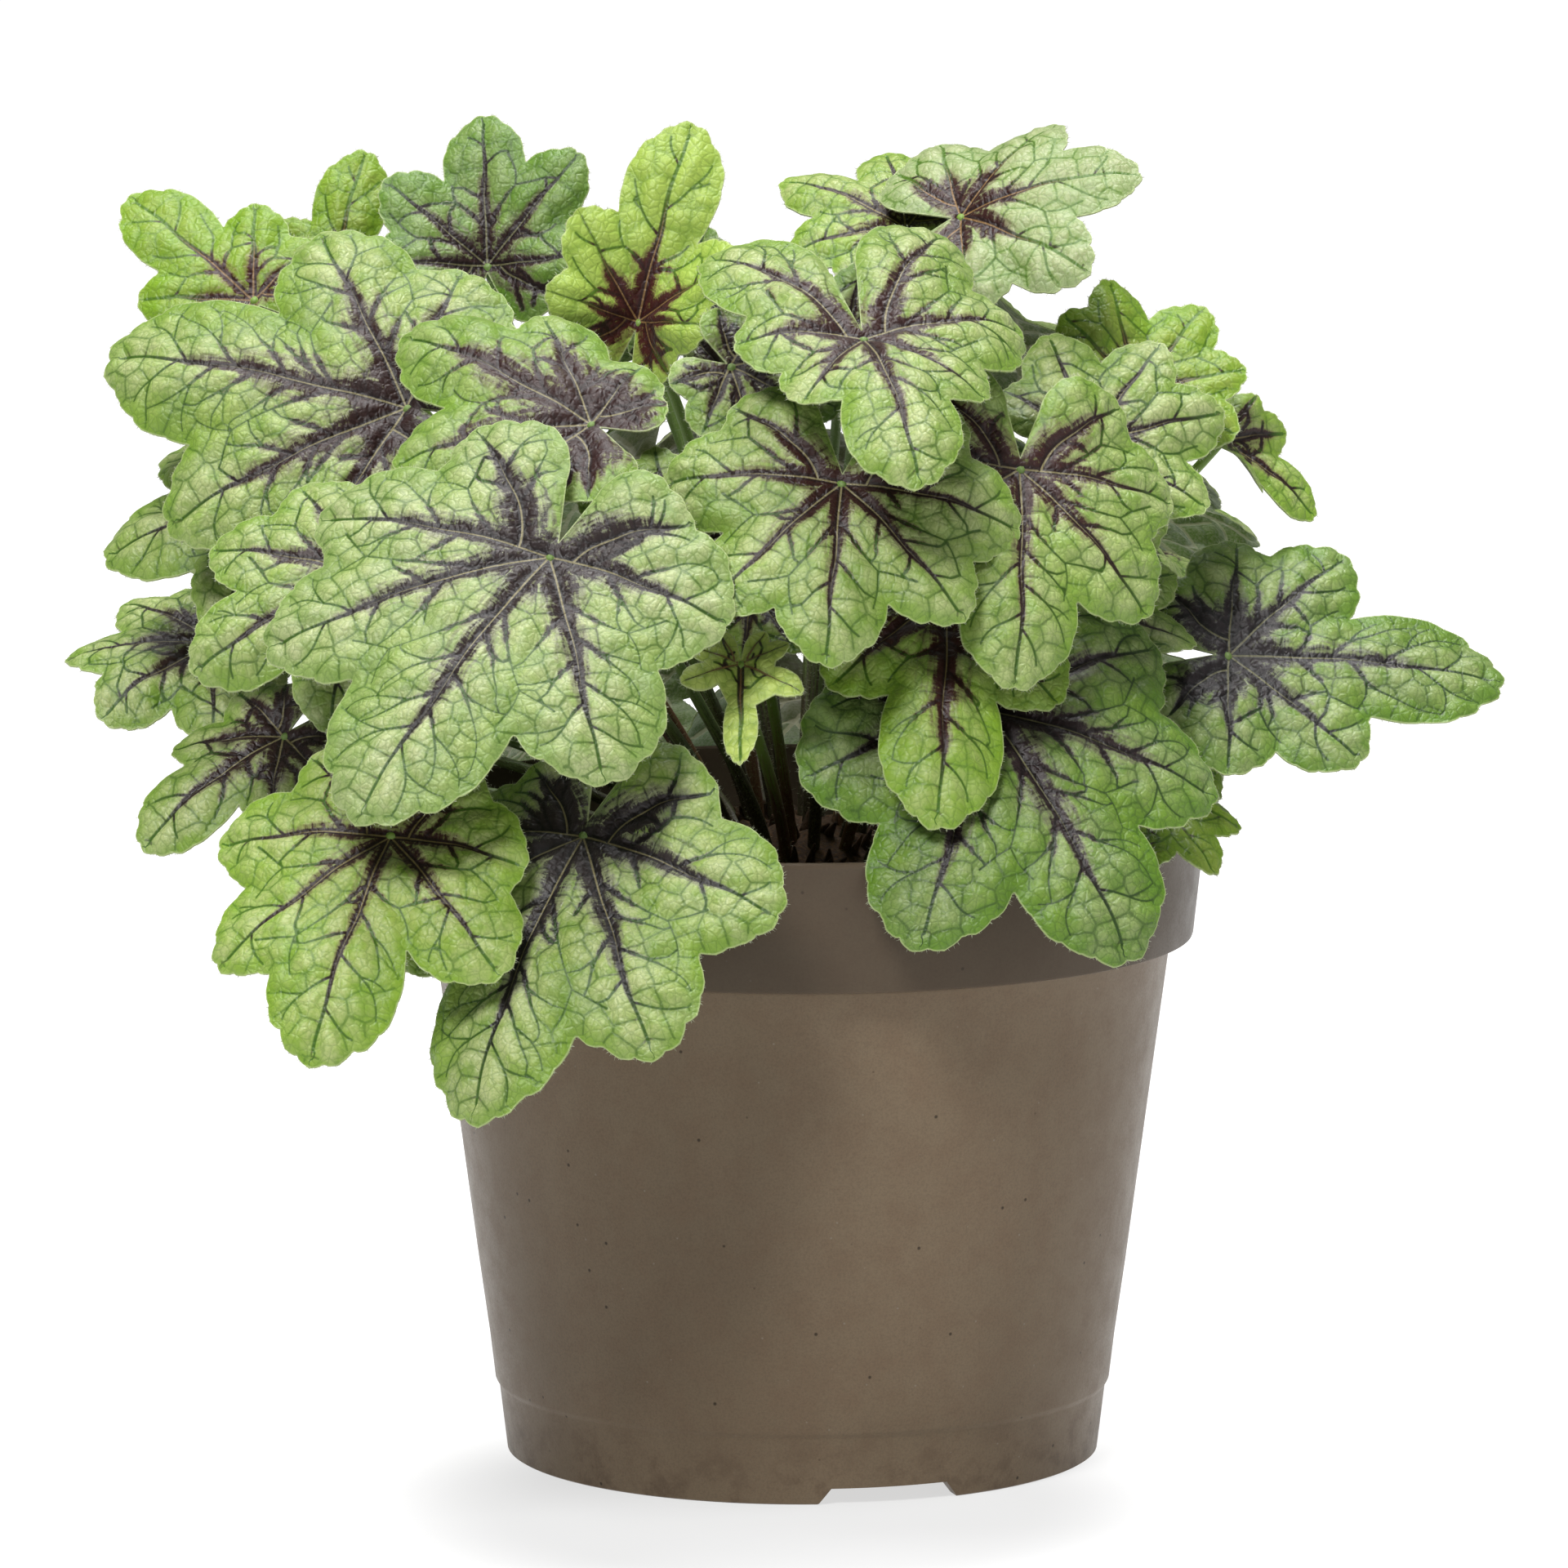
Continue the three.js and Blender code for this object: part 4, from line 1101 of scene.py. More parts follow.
class LeafGraph(Graph):
    """The graph of one leaf material, with what make_leaf stores in the mesh for it.

    run: length along the nearest main vein, distance across it and share of its length, and on
    the stalk the same with its sides counted across. gaps: distance from the nearest side vein,
    net vein and rim. flat: the place in the blade's plane, and the warmth of the dark zone.
    own: the leaf's tint, width of zone and seed.
    """

    def __init__(self, face, age):
        super().__init__("leaf_" + face + "_" + age)
        self.colours = {key: linear(value) for key, value in LEAF_COLOURS[age].items()}
        self.young = age == "young"
        self.along, self.across, self.share = self.attribute("run")
        self.side_gap, self.net_gap, self.rim_gap = self.attribute("gaps")
        self.tint, self.zone, self.seed = self.attribute("own")
        self.x, self.y, self.warmth = self.attribute("flat")
        self.gap = abs(self.across)
        self.plane = self.vector(self.x, self.y, self.seed)


def panel_colours(g, grain, cells):
    """Silvery panels with greener clouds, a fresh green margin and the smallest veins, with vein halos
    partly painted shade and lime partly painted light.
    """
    c = g.colours
    cloud = g.noise(g.plane, 0.11, 3.0)
    panel = g.mix(g.step(cloud, 0.38, 0.66, 0.0, 0.7), c["panel"], c["deep"])
    mottle = g.noise(g.plane, 0.24, 3.0, 0.6)
    silver = g.step(g.gap, 13.0, 2.5) * g.step(mottle, 0.66, 0.36, 0.35, 0.95)
    panel = g.mix(silver, panel, c["silver"])
    panel = g.mix(g.step(mottle, 0.5, 0.7, 0.0, 0.42), panel, c["fresh"])
    rim = g.rim_gap + (cloud - 0.5) * 14.0
    panel = g.mix(g.step(rim, 4.0, -1.0) * 0.7, panel, c["fresh"])
    panel = g.mix(g.tint * 0.5, panel, c["fresh"])
    panel = g.mix(g.tint * -1.0, panel, linear(GREYED_PANEL))
    panel = g.mix(g.step(grain, 0.35, 0.72, 0.0, 0.38), panel, c["deep"])
    # tints over 1: the leaf's own lime, partly painted light on leaves that sit in shade
    panel = g.mix(g.step(g.tint, 1.0, 2.0, 0.0, 0.85), panel, linear(LIME_PANEL_AND_PAINTED_LIGHT))
    # a darker green halo along the small and side veins: partly greener tissue there, partly painted
    # shade of the puckered cells
    beside = g.step(g.least(g.net_gap, g.side_gap), 1.25, 0.1, 0.0, 0.34)
    panel = g.mix(beside, panel, c["deep"])
    return g.mix(g.step(cells, 0.10, 0.0) * 0.28, panel, c["net"])


def zone_reach(g):
    """Half width of the dark zone along a main vein, wide at the leaf's middle and patchy."""
    place = g.vector(g.along * 0.16, g.across, g.seed)
    patch = g.step(g.noise(place, 1.0, 2.0), 0.3, 0.7, 0.55, 1.45)
    fade = g.step(g.share, 0.7, 0.2) if g.young else g.step(g.share, 0.93, 0.35)
    centre = g.step(g.along, 15.0, 3.0, 0.0, 1.9)
    return (fade * 1.35 + centre) * g.zone * patch + 0.05


def zone_colours(g, skin, reach):
    """The dark zone, combed across the main veins and running a little up the side veins."""
    c = g.colours
    comb = g.noise(g.vector(g.along * 1.6, g.gap * 0.19, g.seed), 1.0, 4.0, 0.68)
    spur = reach * g.step(g.gap, 9.0, 0.5, 0.0, 0.42) + 0.03
    speck = g.noise(g.plane, 3.4, 2.0, 0.7)
    off = g.least(g.gap / reach, g.side_gap / spur) + (comb - 0.5) * 2.4 + (speck - 0.5) * 0.9
    skin = g.mix(g.step(off, 2.5, 1.1) * 0.62, skin, c["fringe"])
    skin = g.mix(g.step(off, 1.3, 0.7), skin, c["zone"])
    return g.mix(g.step(off, 0.6, 0.0) * 0.5, skin, c["line"])


def vein_colours(g, skin, reach, grain):
    """The veins: green away from the dark zone, nearly black in and beside it."""
    c = g.colours
    near_zone = g.step(g.gap / (reach + 0.4), 3.4, 1.1)
    vein = g.mix(near_zone, c["net"], c["line"])
    wobble = (grain - 0.5) * 0.12
    net = g.line(g.net_gap + wobble, 0.07, 0.24)
    faint = 0.64 - g.most(g.tint, 0.0) * 0.3
    skin = g.mix(net * faint, skin, vein)
    sides = g.line(g.side_gap + wobble, g.step(g.gap, 14.0, 1.0, 0.03, 0.15), 0.21)
    skin = g.mix(sides * g.step(g.gap, 18.0, 2.0, 0.6, 0.85), skin, vein)
    dark_to = (0.75, 0.35) if g.young else (0.97, 0.72)
    main_colour = g.mix(g.step(g.share, *dark_to), c["net"], c["line"])
    middle = g.step(abs(g.y), 1.2, 0.6) * g.step(g.x, -1.0, 1.0)
    shown = g.most(middle, g.step(g.tint, 1.0, 2.0, 1.0, 0.25))
    drawn = g.line(g.gap, g.step(g.share, 1.0, 0.0, 0.16, 0.55), 0.3) * 0.95
    skin = g.mix(drawn * shown, skin, main_colour)
    core_half = g.step(g.share, 0.7, 0.0, 0.02, 0.13)
    core = g.line(g.gap, core_half, 0.12) * g.step(g.share, 0.8, 0.3, 0.0, 0.85)
    return g.mix(core, skin, c["core"])


def upper_material(age):
    g = LeafGraph("upper", age)
    for key, value in WARM_ZONE.items():
        g.colours[key] = g.mix(g.warmth, g.colours[key], linear(value))
    grain = g.noise(g.plane, 2.2, 3.0, 0.65)
    cells = g.cells(g.plane, 0.62, "DISTANCE_TO_EDGE")
    reach = zone_reach(g)
    skin = panel_colours(g, grain, cells)
    skin = zone_colours(g, skin, reach)
    skin = vein_colours(g, skin, reach, grain)
    skin = g.mix(g.step(g.rim_gap, 0.3, 0.05, 0.0, 0.6), skin, linear(PALE_EDGE))
    g.bump(grain * 0.5 + g.step(cells, 0.0, 0.25) * 0.3, 0.0004, 0.7)
    shine = g.step(grain, 0.2, 0.8, 0.27, 0.47)
    return g.finish(skin, shine, Specular_IOR_Level=0.32, Sheen_Weight=0.04, Sheen_Roughness=0.5)


def under_material(age):
    g = LeafGraph("under", age)
    c = g.colours
    grain = g.noise(g.plane, 2.0, 3.0, 0.6)
    skin = g.mix(g.step(grain, 0.3, 0.7), c["under"], c["deep"])
    skin = g.mix(g.line(g.net_gap, 0.12, 0.3) * 0.4, skin, c["net"])
    veins = g.most(g.line(g.side_gap, 0.25, 0.3), g.line(g.gap, 0.5, 0.3))
    skin = g.mix(veins * 0.6, skin, linear(UNDER_VEIN))
    flush = g.step(g.along, 22.0, 2.0) * 0.35
    skin = g.mix(flush * g.zone, skin, linear(UNDER_FLUSH))
    g.bump(grain + veins, 0.0002, 0.5)
    shine = g.step(grain, 0.2, 0.8, 0.5, 0.62)
    return g.finish(skin, shine, Specular_IOR_Level=0.3, Sheen_Weight=0.2)


def stalk_material(age):
    """Green stalks that flush red towards the foot."""
    fresh = age in ("young", "light")
    green = linear(YOUNG_STALK_GREEN if fresh else STALK_GREEN)
    red = linear(YOUNG_STALK_RED if fresh else STALK_RED)
    g = LeafGraph("stalk", age)
    streak = g.noise(g.vector(g.along * 0.15, g.across * 2.5, g.seed), 1.0, 3.0)
    flush = g.step(g.share, 0.75, 0.1, 0.1, 0.9) + (streak - 0.5) * 1.1
    skin = g.mix(g.step(flush, 0.2, 0.9), green, red)
    fine = g.noise(g.places(), 3.0, 2.0)
    skin = g.mix(g.step(fine, 0.4, 0.7, 0.0, 0.25), skin, linear(STALK_BLOOM))
    g.bump(streak, 0.0002, 0.6)
    return g.finish(skin, g.step(fine, 0.3, 0.7, 0.4, 0.55), Specular_IOR_Level=0.4)


def hair_material():
    g = Graph("leaf_hair")
    fine = g.noise(g.places(), 1.5, 2.0)
    skin = g.mix(fine, linear(HAIR_PALE), linear(HAIR_GREEN))
    return g.finish(skin, g.step(fine, 0.3, 0.7, 0.3, 0.45))


# ---- leaves ----
UPPER, UNDER, STALK, HAIR = range(4)
STALK_POINTS, STALK_SIDES = 34, 10
# the stalk's radius at its foot and what it loses by its top, over STALK_RADIUS
STALK_FOOT, STALK_TAPER = 1.02, 0.22
# stored as a gap in millimetres where there is no vein
NO_VEIN_NEAR = 9.0
# hairs for each edge of the rim or millimetre of stalk, their lengths and their width
HAIRS_AN_EDGE, RIM_HAIR, RIM_HAIR_WIDTH = 0.9, (0.35, 0.95), 0.06
HAIRS_A_MM, STALK_HAIR, STALK_HAIR_WIDTH = 1.3, (0.5, 1.2), 0.05

# by age: how fresh the green is and how wide the dark zone is
AGE_TINTS = {"mature": 0.12, "light": 0.35, "young": 0.5, "old": 0.1}
AGE_ZONES = {"mature": 1.0, "light": 0.75, "young": 0.45, "old": 1.0}
WHOLE_ZONE_SIZE = 45
# leaf by leaf, where the photo shows another width, warmth (0 to 1) or green. A tint over 1 is for
# the lime leaves, and partly paints light on those that sit in shade; one under 0 is for a greyed leaf.
ZONE_WIDTHS = {
    1: 1.12, 2: 0.72, 3: 0.82, 4: 0.9, 5: 0.6, 7: 1.3, 8: 2.0, 9: 0.12, 10: 1.0, 12: 1.5, 14: 0.55,
    15: 0.75, 16: 1.2, 18: 2.2, 19: 1.5,
}
ZONE_WARMTHS = {
    1: 0.15, 2: 0.8, 3: 0.9, 4: 0.8, 6: 0, 7: 0.25, 8: 1, 9: 1, 10: 0, 12: 1, 16: 0.5, 18: 0.7,
}
TINTS = {
    1: -0.15, 2: 0.28, 3: 0.36, 4: 0.1, 7: 0.4, 8: 0.7, 9: 2.0, 12: -0.5, 15: 1.0, 17: 0.75,
    18: 0.9, 19: 1.5,
}


def leaf_look(leaf):
    """How fresh a leaf's green is, how wide its dark zone is and how warm its colour."""
    rng = np.random.default_rng(90 + leaf.index)
    number = leaf.index + 1
    tint = AGE_TINTS[leaf.age] + rng.uniform(-0.1, 0.12)
    zone = AGE_ZONES[leaf.age] * rng.uniform(0.85, 1.15) * ZONE_WIDTHS.get(number, 1)
    tint = TINTS.get(number, max(tint, 0))
    return tint, zone * min(1, leaf.size / WHOLE_ZONE_SIZE), ZONE_WARMTHS.get(number, 0.5)


def add_blade(parts, leaf, blade, relief, rim):
    """The blade's upper face, the wall round its rim and its under face."""
    half = blade_thickness(blade) / 2
    count = len(blade.points)
    upper = blade_points(leaf, blade.points, relief + half)
    under = blade_points(leaf, blade.points, relief - half)
    walls = []
    for a, b in rim:
        walls += [(a + count, b + count, b), (a + count, b, a)]
    faces = blade.tris.tolist()
    parts.add(np.vstack([upper, under]), faces + walls, UPPER)
    parts.faces += [(a + count, c + count, b + count) for a, b, c in faces]
    parts.slots += [UNDER] * len(faces)
    return walls


def add_rim_hairs(parts, leaf, blade, relief, rim, rng):
    """Hairs that point outward all round the blade."""
    spots = rng.random((int(len(rim) * HAIRS_AN_EDGE), 2))
    chosen = rim[(spots[:, 0] * len(rim)).astype(int)]
    start = blade.points[chosen[:, 0]]
    edge = blade.points[chosen[:, 1]] - start
    mid = start + edge * spots[:, 1:]
    out = units(np.stack([edge[:, 1], -edge[:, 0]], -1))
    lift = relief[chosen[:, 0]]
    roots = blade_points(leaf, mid - 0.05 * out, lift)
    ends = blade_points(leaf, mid + out, lift + rng.uniform(-0.2, 0.5, len(mid)))
    ways = units(ends - roots + rng.normal(scale=0.35, size=roots.shape))
    lengths = rng.uniform(*RIM_HAIR, len(roots))
    parts.add(*spikes(roots, ways, lengths, RIM_HAIR_WIDTH, rng), HAIR)


def add_stalk_hairs(parts, line, radius, rng):
    """Hairs that point every way off the stalk."""
    count = int(np.linalg.norm(line[-1] - line[0]) * HAIRS_A_MM)
    along = rng.integers(2, len(line) - 2, count)
    ahead = line[along + 1] - line[along]
    ways = units(np.cross(ahead, rng.normal(size=ahead.shape)))
    roots = line[along] + ahead * rng.random((count, 1)) + ways * radius[along][:, None] * 0.9
    lengths = rng.uniform(*STALK_HAIR, count)
    parts.add(*spikes(roots, ways, lengths, STALK_HAIR_WIDTH, rng), HAIR)


def set_vectors(mesh, name, domain, values):
    layer = mesh.attributes.new(name, "FLOAT_VECTOR", domain)
    layer.data.foreach_set("vector", np.ascontiguousarray(values, np.float32).ravel())


def store_points(mesh, leaf, blade):
    """What a LeafGraph reads at each point of the mesh."""
    count, verts = len(blade.points), len(mesh.vertices)
    tint, zone, warmth = leaf_look(leaf)
    gaps = np.full((verts, 3), NO_VEIN_NEAR)
    gaps[:2 * count] = np.tile(np.stack([blade.side_gap, blade.net_gap, blade.rim_gap], -1), (2, 1))
    flat = np.zeros((verts, 3))
    flat[:2 * count, :2] = np.tile(blade.points, (2, 1))
    flat[:, 2] = warmth
    set_vectors(mesh, "gaps", "POINT", gaps)
    set_vectors(mesh, "flat", "POINT", flat)
    set_vectors(mesh, "own", "POINT", np.tile([tint, zone, leaf.index * 7.3], (verts, 1)))


def store_runs(mesh, blade, walls, line, stalk):
    """Run along, distance across and share of the nearest main vein, at each corner of each face."""
    count, total = len(blade.points), 3 * len(blade.tris)
    corners = np.stack([blade.along, blade.across, blade.share], -1)
    loops = np.zeros((len(mesh.loops), 3))
    loops[:total] = corners.reshape(-1, 3)
    by_point = np.zeros((count, 3))
    by_point[blade.tris.ravel()] = corners.reshape(-1, 3)
    walls_at = np.array(walls).ravel() % count
    backs = total + len(walls_at)
    loops[total:backs] = by_point[walls_at]
    loops[backs:backs + total] = corners[:, [0, 2, 1]].reshape(-1, 3)
    where = np.zeros(len(mesh.loops), int)
    mesh.loops.foreach_get("vertex_index", where)
    on_stalk = (where >= stalk.start) & (where < stalk.stop)
    place = where[on_stalk] - stalk.start
    share = np.linspace(0, 1, len(line))[np.minimum(place // STALK_SIDES, len(line) - 1)]
    turn = place % STALK_SIDES
    span = np.linalg.norm(line[-1] - line[0])
    loops[on_stalk] = np.stack([share * span, np.minimum(turn, STALK_SIDES - turn) * 1.0, share], -1)
    set_vectors(mesh, "run", "CORNER", loops)


def crease_rim(mesh, rim, count):
    """A crisp edge where the blade's two faces meet its rim."""
    pairs = np.sort(np.vstack([rim, rim + count]), axis=1)
    sharp = set(map(tuple, pairs.tolist()))
    keys = np.zeros(len(mesh.edges) * 2, int)
    mesh.edges.foreach_get("vertices", keys)
    marks = [tuple(sorted(key)) in sharp for key in keys.reshape(-1, 2).tolist()]
    layer = mesh.attributes.new("sharp_edge", "BOOLEAN", "EDGE")
    layer.data.foreach_set("value", marks)


def make_leaf(leaf, materials):
    rng = np.random.default_rng(500 + leaf.index)
    blade = Blade(leaf)
    relief = blade_relief(leaf, blade)
    rim = blade.rim()
    parts = MeshParts()
    walls = add_blade(parts, leaf, blade, relief, rim)
    line = stalk_line(leaf, STALK_POINTS)
    radius = STALK_RADIUS * (STALK_FOOT - STALK_TAPER * np.linspace(0, 1, STALK_POINTS))
    first = parts.count
    parts.add(*tube(line, radius, STALK_SIDES), STALK)
    stalk = range(first, parts.count)
    add_rim_hairs(parts, leaf, blade, relief, rim, rng)
    add_stalk_hairs(parts, line, radius, rng)
    made = parts.make(f"foliage_{leaf.index + 1:02d}", materials)
    store_points(made.data, leaf, blade)
    store_runs(made.data, blade, walls, line, stalk)
    crease_rim(made.data, rim, len(blade.points))
    dress(made, f"leaf_{leaf.index + 1:02d}")


# ---- pot ----
POT_SEGMENTS = 240
SHARP_ANGLE = 32
FOOT_NOTCHES, FIRST_NOTCH = 3, -73
DRAIN_HOLES, DRAIN_CIRCLE, DRAIN_RADIUS = 8, 34, 4
# radius and height, from the middle of the foot round to the middle of the floor
POT_OUTSIDE = [
    (0, 3.6), (30, 3.6), (38, 3.6), (49.7, 3.6), (50.2, 3.3), (50.9, 0.3), (51.2, 0), (54.5, 0),
    (54.9, 0.25), (55.6, 6), (56.35, 12.3), (56.55, 12.75), (56.9, 13.25), (57.1, 13.7), (58.1, 22),
    (60.1, 36), (62.1, 51), (64.1, 66), (66.1, 81), (68.05, 95.6), (68.3, 96.1), (68.8, 96.35),
    (71.8, 96.9), (72.2, 97.05), (72.36, 97.5), (73.5, 108), (74.7, 119.3), (74.98, 119.9),
    (75, 120.3), (74.85, 120.75), (74.5, 120.98), (73.9, 121),
]
POT_INSIDE = [
    (73.5, 120.9), (73.2, 120.6), (73.1, 120), (70.6, 99.2), (70.3, 98.7), (66.7, 97.3), (66.4, 96.8),
    (60.8, 55), (55.2, 13.4), (54.2, 6.4), (53.4, 5.6), (38, 5.6), (30, 5.6), (0, 5.6),
]
# half width and height of a notch in the foot ring, and how far out it reaches
NOTCH_PROFILE = [(-14, -1), (14, -1), (11, 3), (-11, 3)]
NOTCH_DEPTHS = (45, 62)


def turned(profile, segments):
    """Vertices and faces of a closed lathe solid whose profile starts and ends on the axis."""
    profile = np.array(profile, float)
    turn = np.linspace(0, 2 * math.pi, segments, endpoint=False)
    rings = profile[1:-1]
    verts = [np.stack([r * np.cos(turn), r * np.sin(turn), np.full(segments, z)], -1) for r, z in rings]
    verts = np.vstack(verts + [[[0, 0, profile[0][1]]], [[0, 0, profile[-1][1]]]])
    faces = []
    low, high = len(verts) - 2, len(verts) - 1
    for k in range(segments):
        nxt = (k + 1) % segments
        faces.append((low, nxt, k))
        for i in range(len(rings) - 1):
            a, b = i * segments + k, i * segments + nxt
            faces.append((a, b, b + segments, a + segments))
        last = (len(rings) - 1) * segments
        faces.append((high, last + k, last + nxt))
    return verts, faces


def notch_cutter(azimuth):
    out, up = direction(azimuth, 0), np.array([0, 0, 1.0])
    side = np.array([-out[1], out[0], 0])
    corners = [out * far + side * x + up * z for far in NOTCH_DEPTHS for x, z in NOTCH_PROFILE]
    faces = [(3, 2, 1, 0), (4, 5, 6, 7)] + [(k, (k + 1) % 4, (k + 1) % 4 + 4, k + 4) for k in range(4)]
    return np.array(corners), faces


def apply_modifiers(made):
    graph = bpy.context.evaluated_depsgraph_get()
    mesh = bpy.data.meshes.new_from_object(made.evaluated_get(graph))
    made.modifiers.clear()
    old = made.data
    made.data = mesh
    mesh.name = made.name
    bpy.data.meshes.remove(old)


def pot_piece(material):
    parts = MeshParts()
    parts.add(*turned(POT_OUTSIDE + POT_INSIDE, POT_SEGMENTS), 0)
    pot = parts.make("nursery_pot", [material])
    cutters = MeshParts()
    for i in range(FOOT_NOTCHES):
        cutters.add(*notch_cutter(FIRST_NOTCH + 360 * i / FOOT_NOTCHES), 0)
    for i in range(DRAIN_HOLES):
        out = direction(360 * i / DRAIN_HOLES, 0) * DRAIN_CIRCLE
        rod = np.array([out + np.array([0, 0, z]) for z in (1.6, 4.6, 7.6)])
        cutters.add(*tube(rod, [DRAIN_RADIUS] * 3, 32), 0)
    cutter = cutters.make("cutter", [material])
    cut = pot.modifiers.new("cut", "BOOLEAN")
    cut.operation, cut.solver, cut.object = "DIFFERENCE", "EXACT", cutter
    apply_modifiers(pot)
    bpy.data.objects.remove(cutter)
    pot.data.polygons.foreach_set("use_smooth", [True] * len(pot.data.polygons))
    pot.data.set_sharp_from_angle(angle=math.radians(SHARP_ANGLE))
    dress(pot, "pot")


def pot_material():
    """Moulded plastic, cloudy and dusty, splashed at the foot, and darker from the step below the rim
    upwards with painted shade of the leaves above.
    """
    g = Graph("nursery_plastic")
    place = g.places()
    height = g.parts(place)[2]
    cloud = g.noise(g.vector_math("MULTIPLY", {0: place, 1: (1.0, 1.0, 0.25)}), 0.02, 4.0, 0.6)
    skin = g.mix(g.step(cloud, 0.35, 0.65), linear("897760"), linear("938068"))
    mottle = g.noise(place, 0.16, 4.0, 0.65)
    skin = g.mix(g.step(mottle, 0.35, 0.7, 0.0, 0.4), skin, linear("866e58"))
    grain = g.noise(place, 2.2, 3.0, 0.7)
    skin = g.mix(g.step(grain, 0.35, 0.75, 0.0, 0.3), skin, linear("62574a"))
    dots = g.step(g.cells(place, 0.16), 0.07, 0.03) * 0.75
    skin = g.mix(dots, skin, linear("2b231c"))
    dust = g.step(g.cells(place, 0.23), 0.055, 0.03) * 0.55
    skin = g.mix(dust, skin, linear("a39a8c"))
    splash = g.step(height, 16.0, 0.0) * g.step(mottle, 0.45, 0.7)
    skin = g.mix(splash * 0.35, skin, linear("463a2f"))
    # painted shade: the band from the step to the rim, darkened where the leaves overhang it
    collar_shade = g.step(height, 95.5, 97.5) * 0.72
    skin = g.mix(collar_shade, skin, linear("50453a"))
    g.bump(grain * 0.4 + g.noise(place, 0.05, 2.0), 0.00008, 0.5)
    shine = g.step(grain, 0.3, 0.7, 0.34, 0.42) + g.step(mottle, 0.3, 0.7, -0.03, 0.05)
    return g.finish(skin, shine, Specular_IOR_Level=0.13)


# ---- compost and crown ----
CRUMBS, CRUMB_SIZES, CRUMB_SHARES = 900, [0.7, 1.1, 1.8], [0.5, 0.35, 0.15]
ROOTLETS, ROOTLET_POINTS = 70, 7
BUD_SCALES, SCALE_POINTS = 60, 6
SOIL_WALL = [(0, 5.9), (53.4, 5.9), (54.9, 13.4), (66.1, 97.3), (70.2, 99.1), (71.0, 106.2)]
# the bed that the crown sits in, and the crown's own underside
CROWN_BED = [(27.4, 108.6), (27.3, 103.2), (14, 103), (0, 103)]
CROWN_FOOT = [(0, 103.3), (14, 103.3), (26.8, 103.3), (27, 104), (27, 109.0)]


def on_circle(radius, turn, height):
    return np.array([radius * math.cos(turn), radius * math.sin(turn), height])


def lumps(points, scale, seed):
    """Seeded smooth noise, about -1 to 1, from random sine waves."""
    rng = np.random.default_rng(seed)
    total = np.zeros(len(points))
    for octave in range(4):
        for _ in range(5):
            way = unit(rng.normal(size=3)) * 2 * math.pi / scale * 2**octave
            total += np.sin(points @ way + rng.uniform(0, 2 * math.pi)) / 2**octave / 3.2
    return total


def chip(rng, size):
    """A small irregular closed lump: an icosahedron pulled out of shape."""
    golden = (1 + 5**0.5) / 2
    base = np.array([
        (-1, golden, 0), (1, golden, 0), (-1, -golden, 0), (1, -golden, 0),
        (0, -1, golden), (0, 1, golden), (0, -1, -golden), (0, 1, -golden),
        (golden, 0, -1), (golden, 0, 1), (-golden, 0, -1), (-golden, 0, 1),
    ]) / 1.9
    faces = [
        (0, 11, 5), (0, 5, 1), (0, 1, 7), (0, 7, 10), (0, 10, 11), (1, 5, 9), (5, 11, 4),
        (11, 10, 2), (10, 7, 6), (7, 1, 8), (3, 9, 4), (3, 4, 2), (3, 2, 6), (3, 6, 8),
        (3, 8, 9), (4, 9, 5), (2, 4, 11), (6, 2, 10), (8, 6, 7), (9, 8, 1),
    ]
    verts = base * rng.uniform(0.7, 1.25, (12, 1)) * rng.uniform(0.4, 1.2, 3) * size
    turn, _ = np.linalg.qr(rng.normal(size=(3, 3)))
    if np.linalg.det(turn) < 0:
        turn[:, 0] *= -1
    return verts @ turn.T, faces


def soil_height(radius):
    return np.interp(radius, [0, CROWN_RADIUS, 50, 71], [109, 109, 108.2, 106.8])


def soil_piece(material):
    """The compost, with loose crumbs and rootlets on it."""
    rng = np.random.default_rng(3)
    rings = [(r, soil_height(r)) for r in np.linspace(70.6, 27.6, 44)]
    verts, faces = turned(SOIL_WALL + rings + CROWN_BED, 220)
    radius = np.hypot(verts[:, 0], verts[:, 1])
    top = (radius > 28) & (radius < 70.9) & (verts[:, 2] > 106)
    verts[top, 2] += 0.75 * lumps(verts[top], 9, 5) - 0.35
    parts = MeshParts()
    parts.add(verts, faces, 0)
    for _ in range(CRUMBS):
        r = math.sqrt(rng.uniform(29**2, 69.5**2))
        a = rng.uniform(0, 2 * math.pi)
        shape, sides = chip(rng, rng.choice(CRUMB_SIZES, p=CRUMB_SHARES))
        parts.add(shape + on_circle(r, a, soil_height(r) + 0.1), sides, 0)
    for _ in range(ROOTLETS):
        r = rng.uniform(32, 66)
        a = rng.uniform(0, 2 * math.pi)
        way = unit(np.append(rng.normal(size=2), rng.uniform(-0.1, 0.25)))
        bend = np.append(rng.normal(size=2), 0.3) * 1.6
        t = np.linspace(0, 1, ROOTLET_POINTS)[:, None]
        line = on_circle(r, a, soil_height(r) + 0.4) + way * t * rng.uniform(3, 8) + bend * t * (1 - t)
        parts.add(*tube(line, np.linspace(0.22, 0.1, ROOTLET_POINTS), 5), 0)
    dress(parts.make("compost", [material]), "soil")


def soil_material():
    g = Graph("peat_compost")
    place = g.places()
    coarse = g.noise(place, 0.35, 4.0, 0.7)
    fine = g.noise(place, 1.8, 4.0, 0.75)
    skin = g.mix(g.step(coarse, 0.35, 0.7), linear("130e0a"), linear("261d15"))
    skin = g.mix(g.step(fine, 0.55, 0.8, 0.0, 0.7), skin, linear("4a392a"))
    grit = g.step(g.cells(place, 0.45), 0.16, 0.08) * 0.5
    skin = g.mix(grit, skin, linear("6e6152"))
    g.bump(coarse + fine, 0.0008, 0.9)
    return g.finish(skin, g.step(fine, 0.3, 0.7, 0.8, 0.98), Specular_IOR_Level=0.25)


